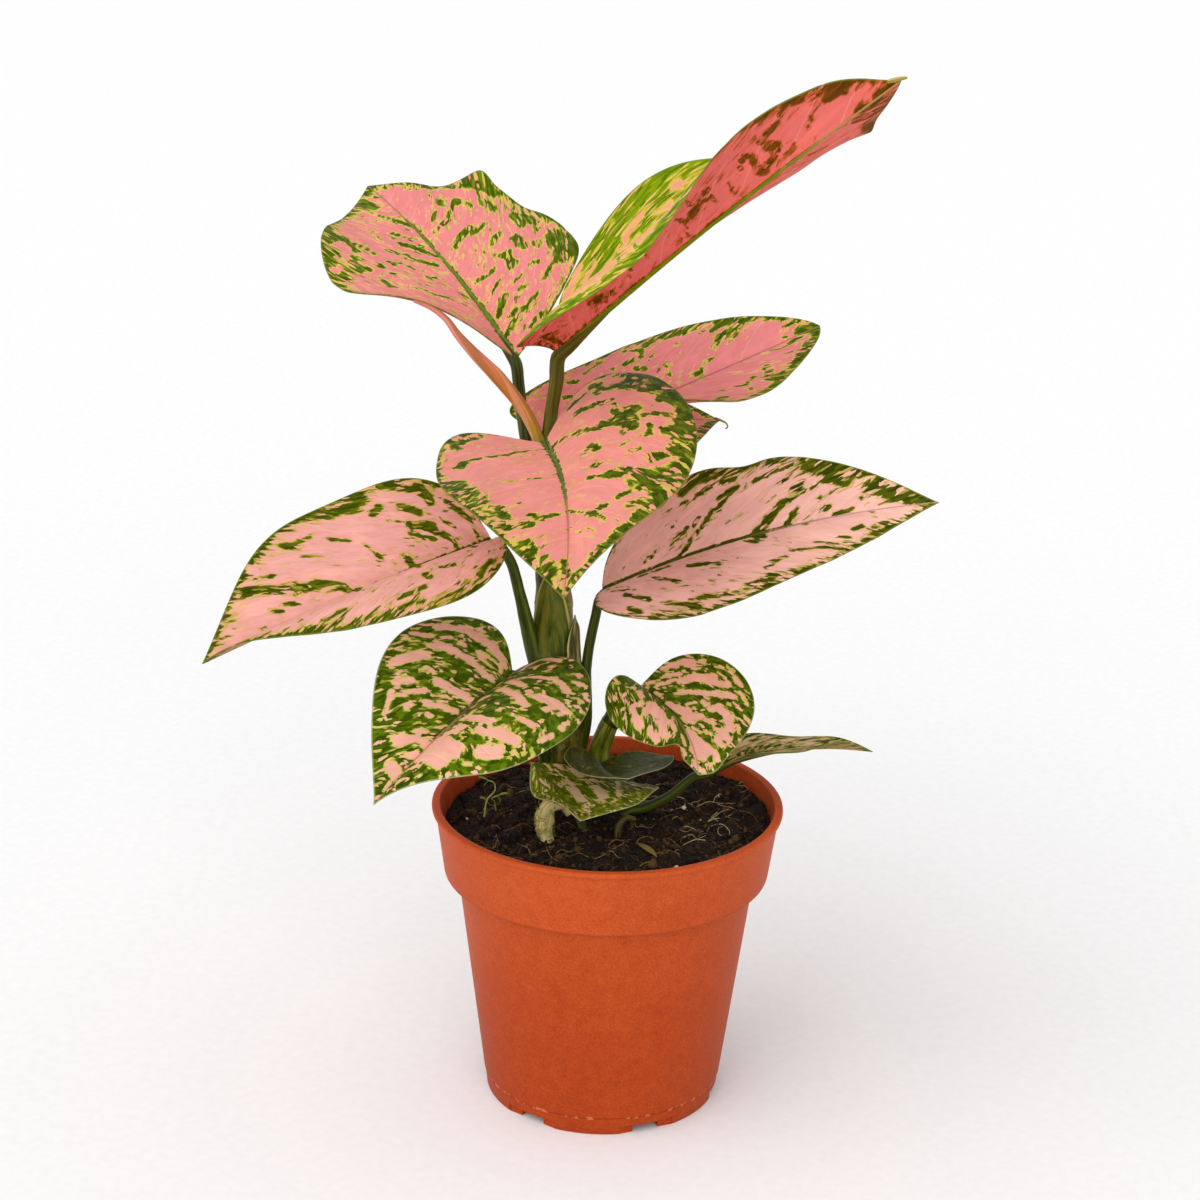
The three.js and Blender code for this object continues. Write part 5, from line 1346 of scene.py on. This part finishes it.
EYE, AIM = np.array([-3.613, -802.41, 441.56]), np.array([-3.613, 0, 161.13])
ROLL, LENS, SENSOR = 1.209 * DEG, 84.95, 36
FLOOR_RADIUS = 12  # metres
SUNS = (  # name, strength, angle across, and the way it shines
    ("window", 1.15, 1.1, (0.6, 0.45, -0.7)), ("front", 0.5, 0.9, (0.1, 0.9, -0.5)),
    ("low", 0.5, 0.7, (-0.3, 0.95, -0.3)),
)


def camera():
    """The photo's camera, solved from the pot, with a slight roll."""
    forward = (AIM - EYE) / np.linalg.norm(AIM - EYE)
    right = np.cross(forward, [0, 0, 1])
    right /= np.linalg.norm(right)
    over = np.cross(right, forward)
    right, over = math.cos(ROLL) * right + math.sin(ROLL) * over, math.cos(ROLL) * over - math.sin(ROLL) * right
    data = bpy.data.cameras.new("view")
    data.sensor_width, data.lens = SENSOR, LENS
    data.clip_start, data.clip_end = 0.05, 100
    view = new_object("view", data)
    turn = Matrix([[*map(float, row)] for row in np.stack([right, over, -forward], -1)])
    view.matrix_world = Matrix.Translation(Vector(EYE * MM)) @ turn.to_4x4()
    bpy.context.scene.camera = view


def studio():
    """White surroundings, three soft suns and a floor of pale paper."""
    scene = bpy.context.scene
    scene.view_settings.view_transform = "Standard"
    scene.world = bpy.data.worlds.new("studio")
    scene.world.use_nodes = True
    sky = scene.world.node_tree.nodes["Background"]
    sky.inputs["Color"].default_value = (1, 1, 1, 1)
    sky.inputs["Strength"].default_value = 0.72
    for name, energy, spread, heading in SUNS:
        sun = bpy.data.lights.new(name, "SUN")
        sun.energy, sun.angle = energy, spread
        holder = new_object(name, sun)
        holder.rotation_mode = "QUATERNION"
        holder.rotation_quaternion = Vector(heading).to_track_quat("-Z", "Y")
    paint = Paint("floor_paper", Specular_IOR_Level=0.1)
    tooth = paint.noise(paint.place(), 300.0)
    color = paint.ramp(tooth, (0.3, 0.7), ((0.9, 0.9, 0.9), (0.93, 0.93, 0.93)))
    work = bmesh.new()
    bmesh.ops.create_circle(work, cap_ends=True, radius=FLOOR_RADIUS, segments=96)
    mesh = bpy.data.meshes.new("floor")
    work.to_mesh(mesh)
    work.free()
    mesh.materials.append(paint.finish(color, 0.9, tooth, 0.05, 0.0002))
    new_object("floor", mesh)


camera()
studio()
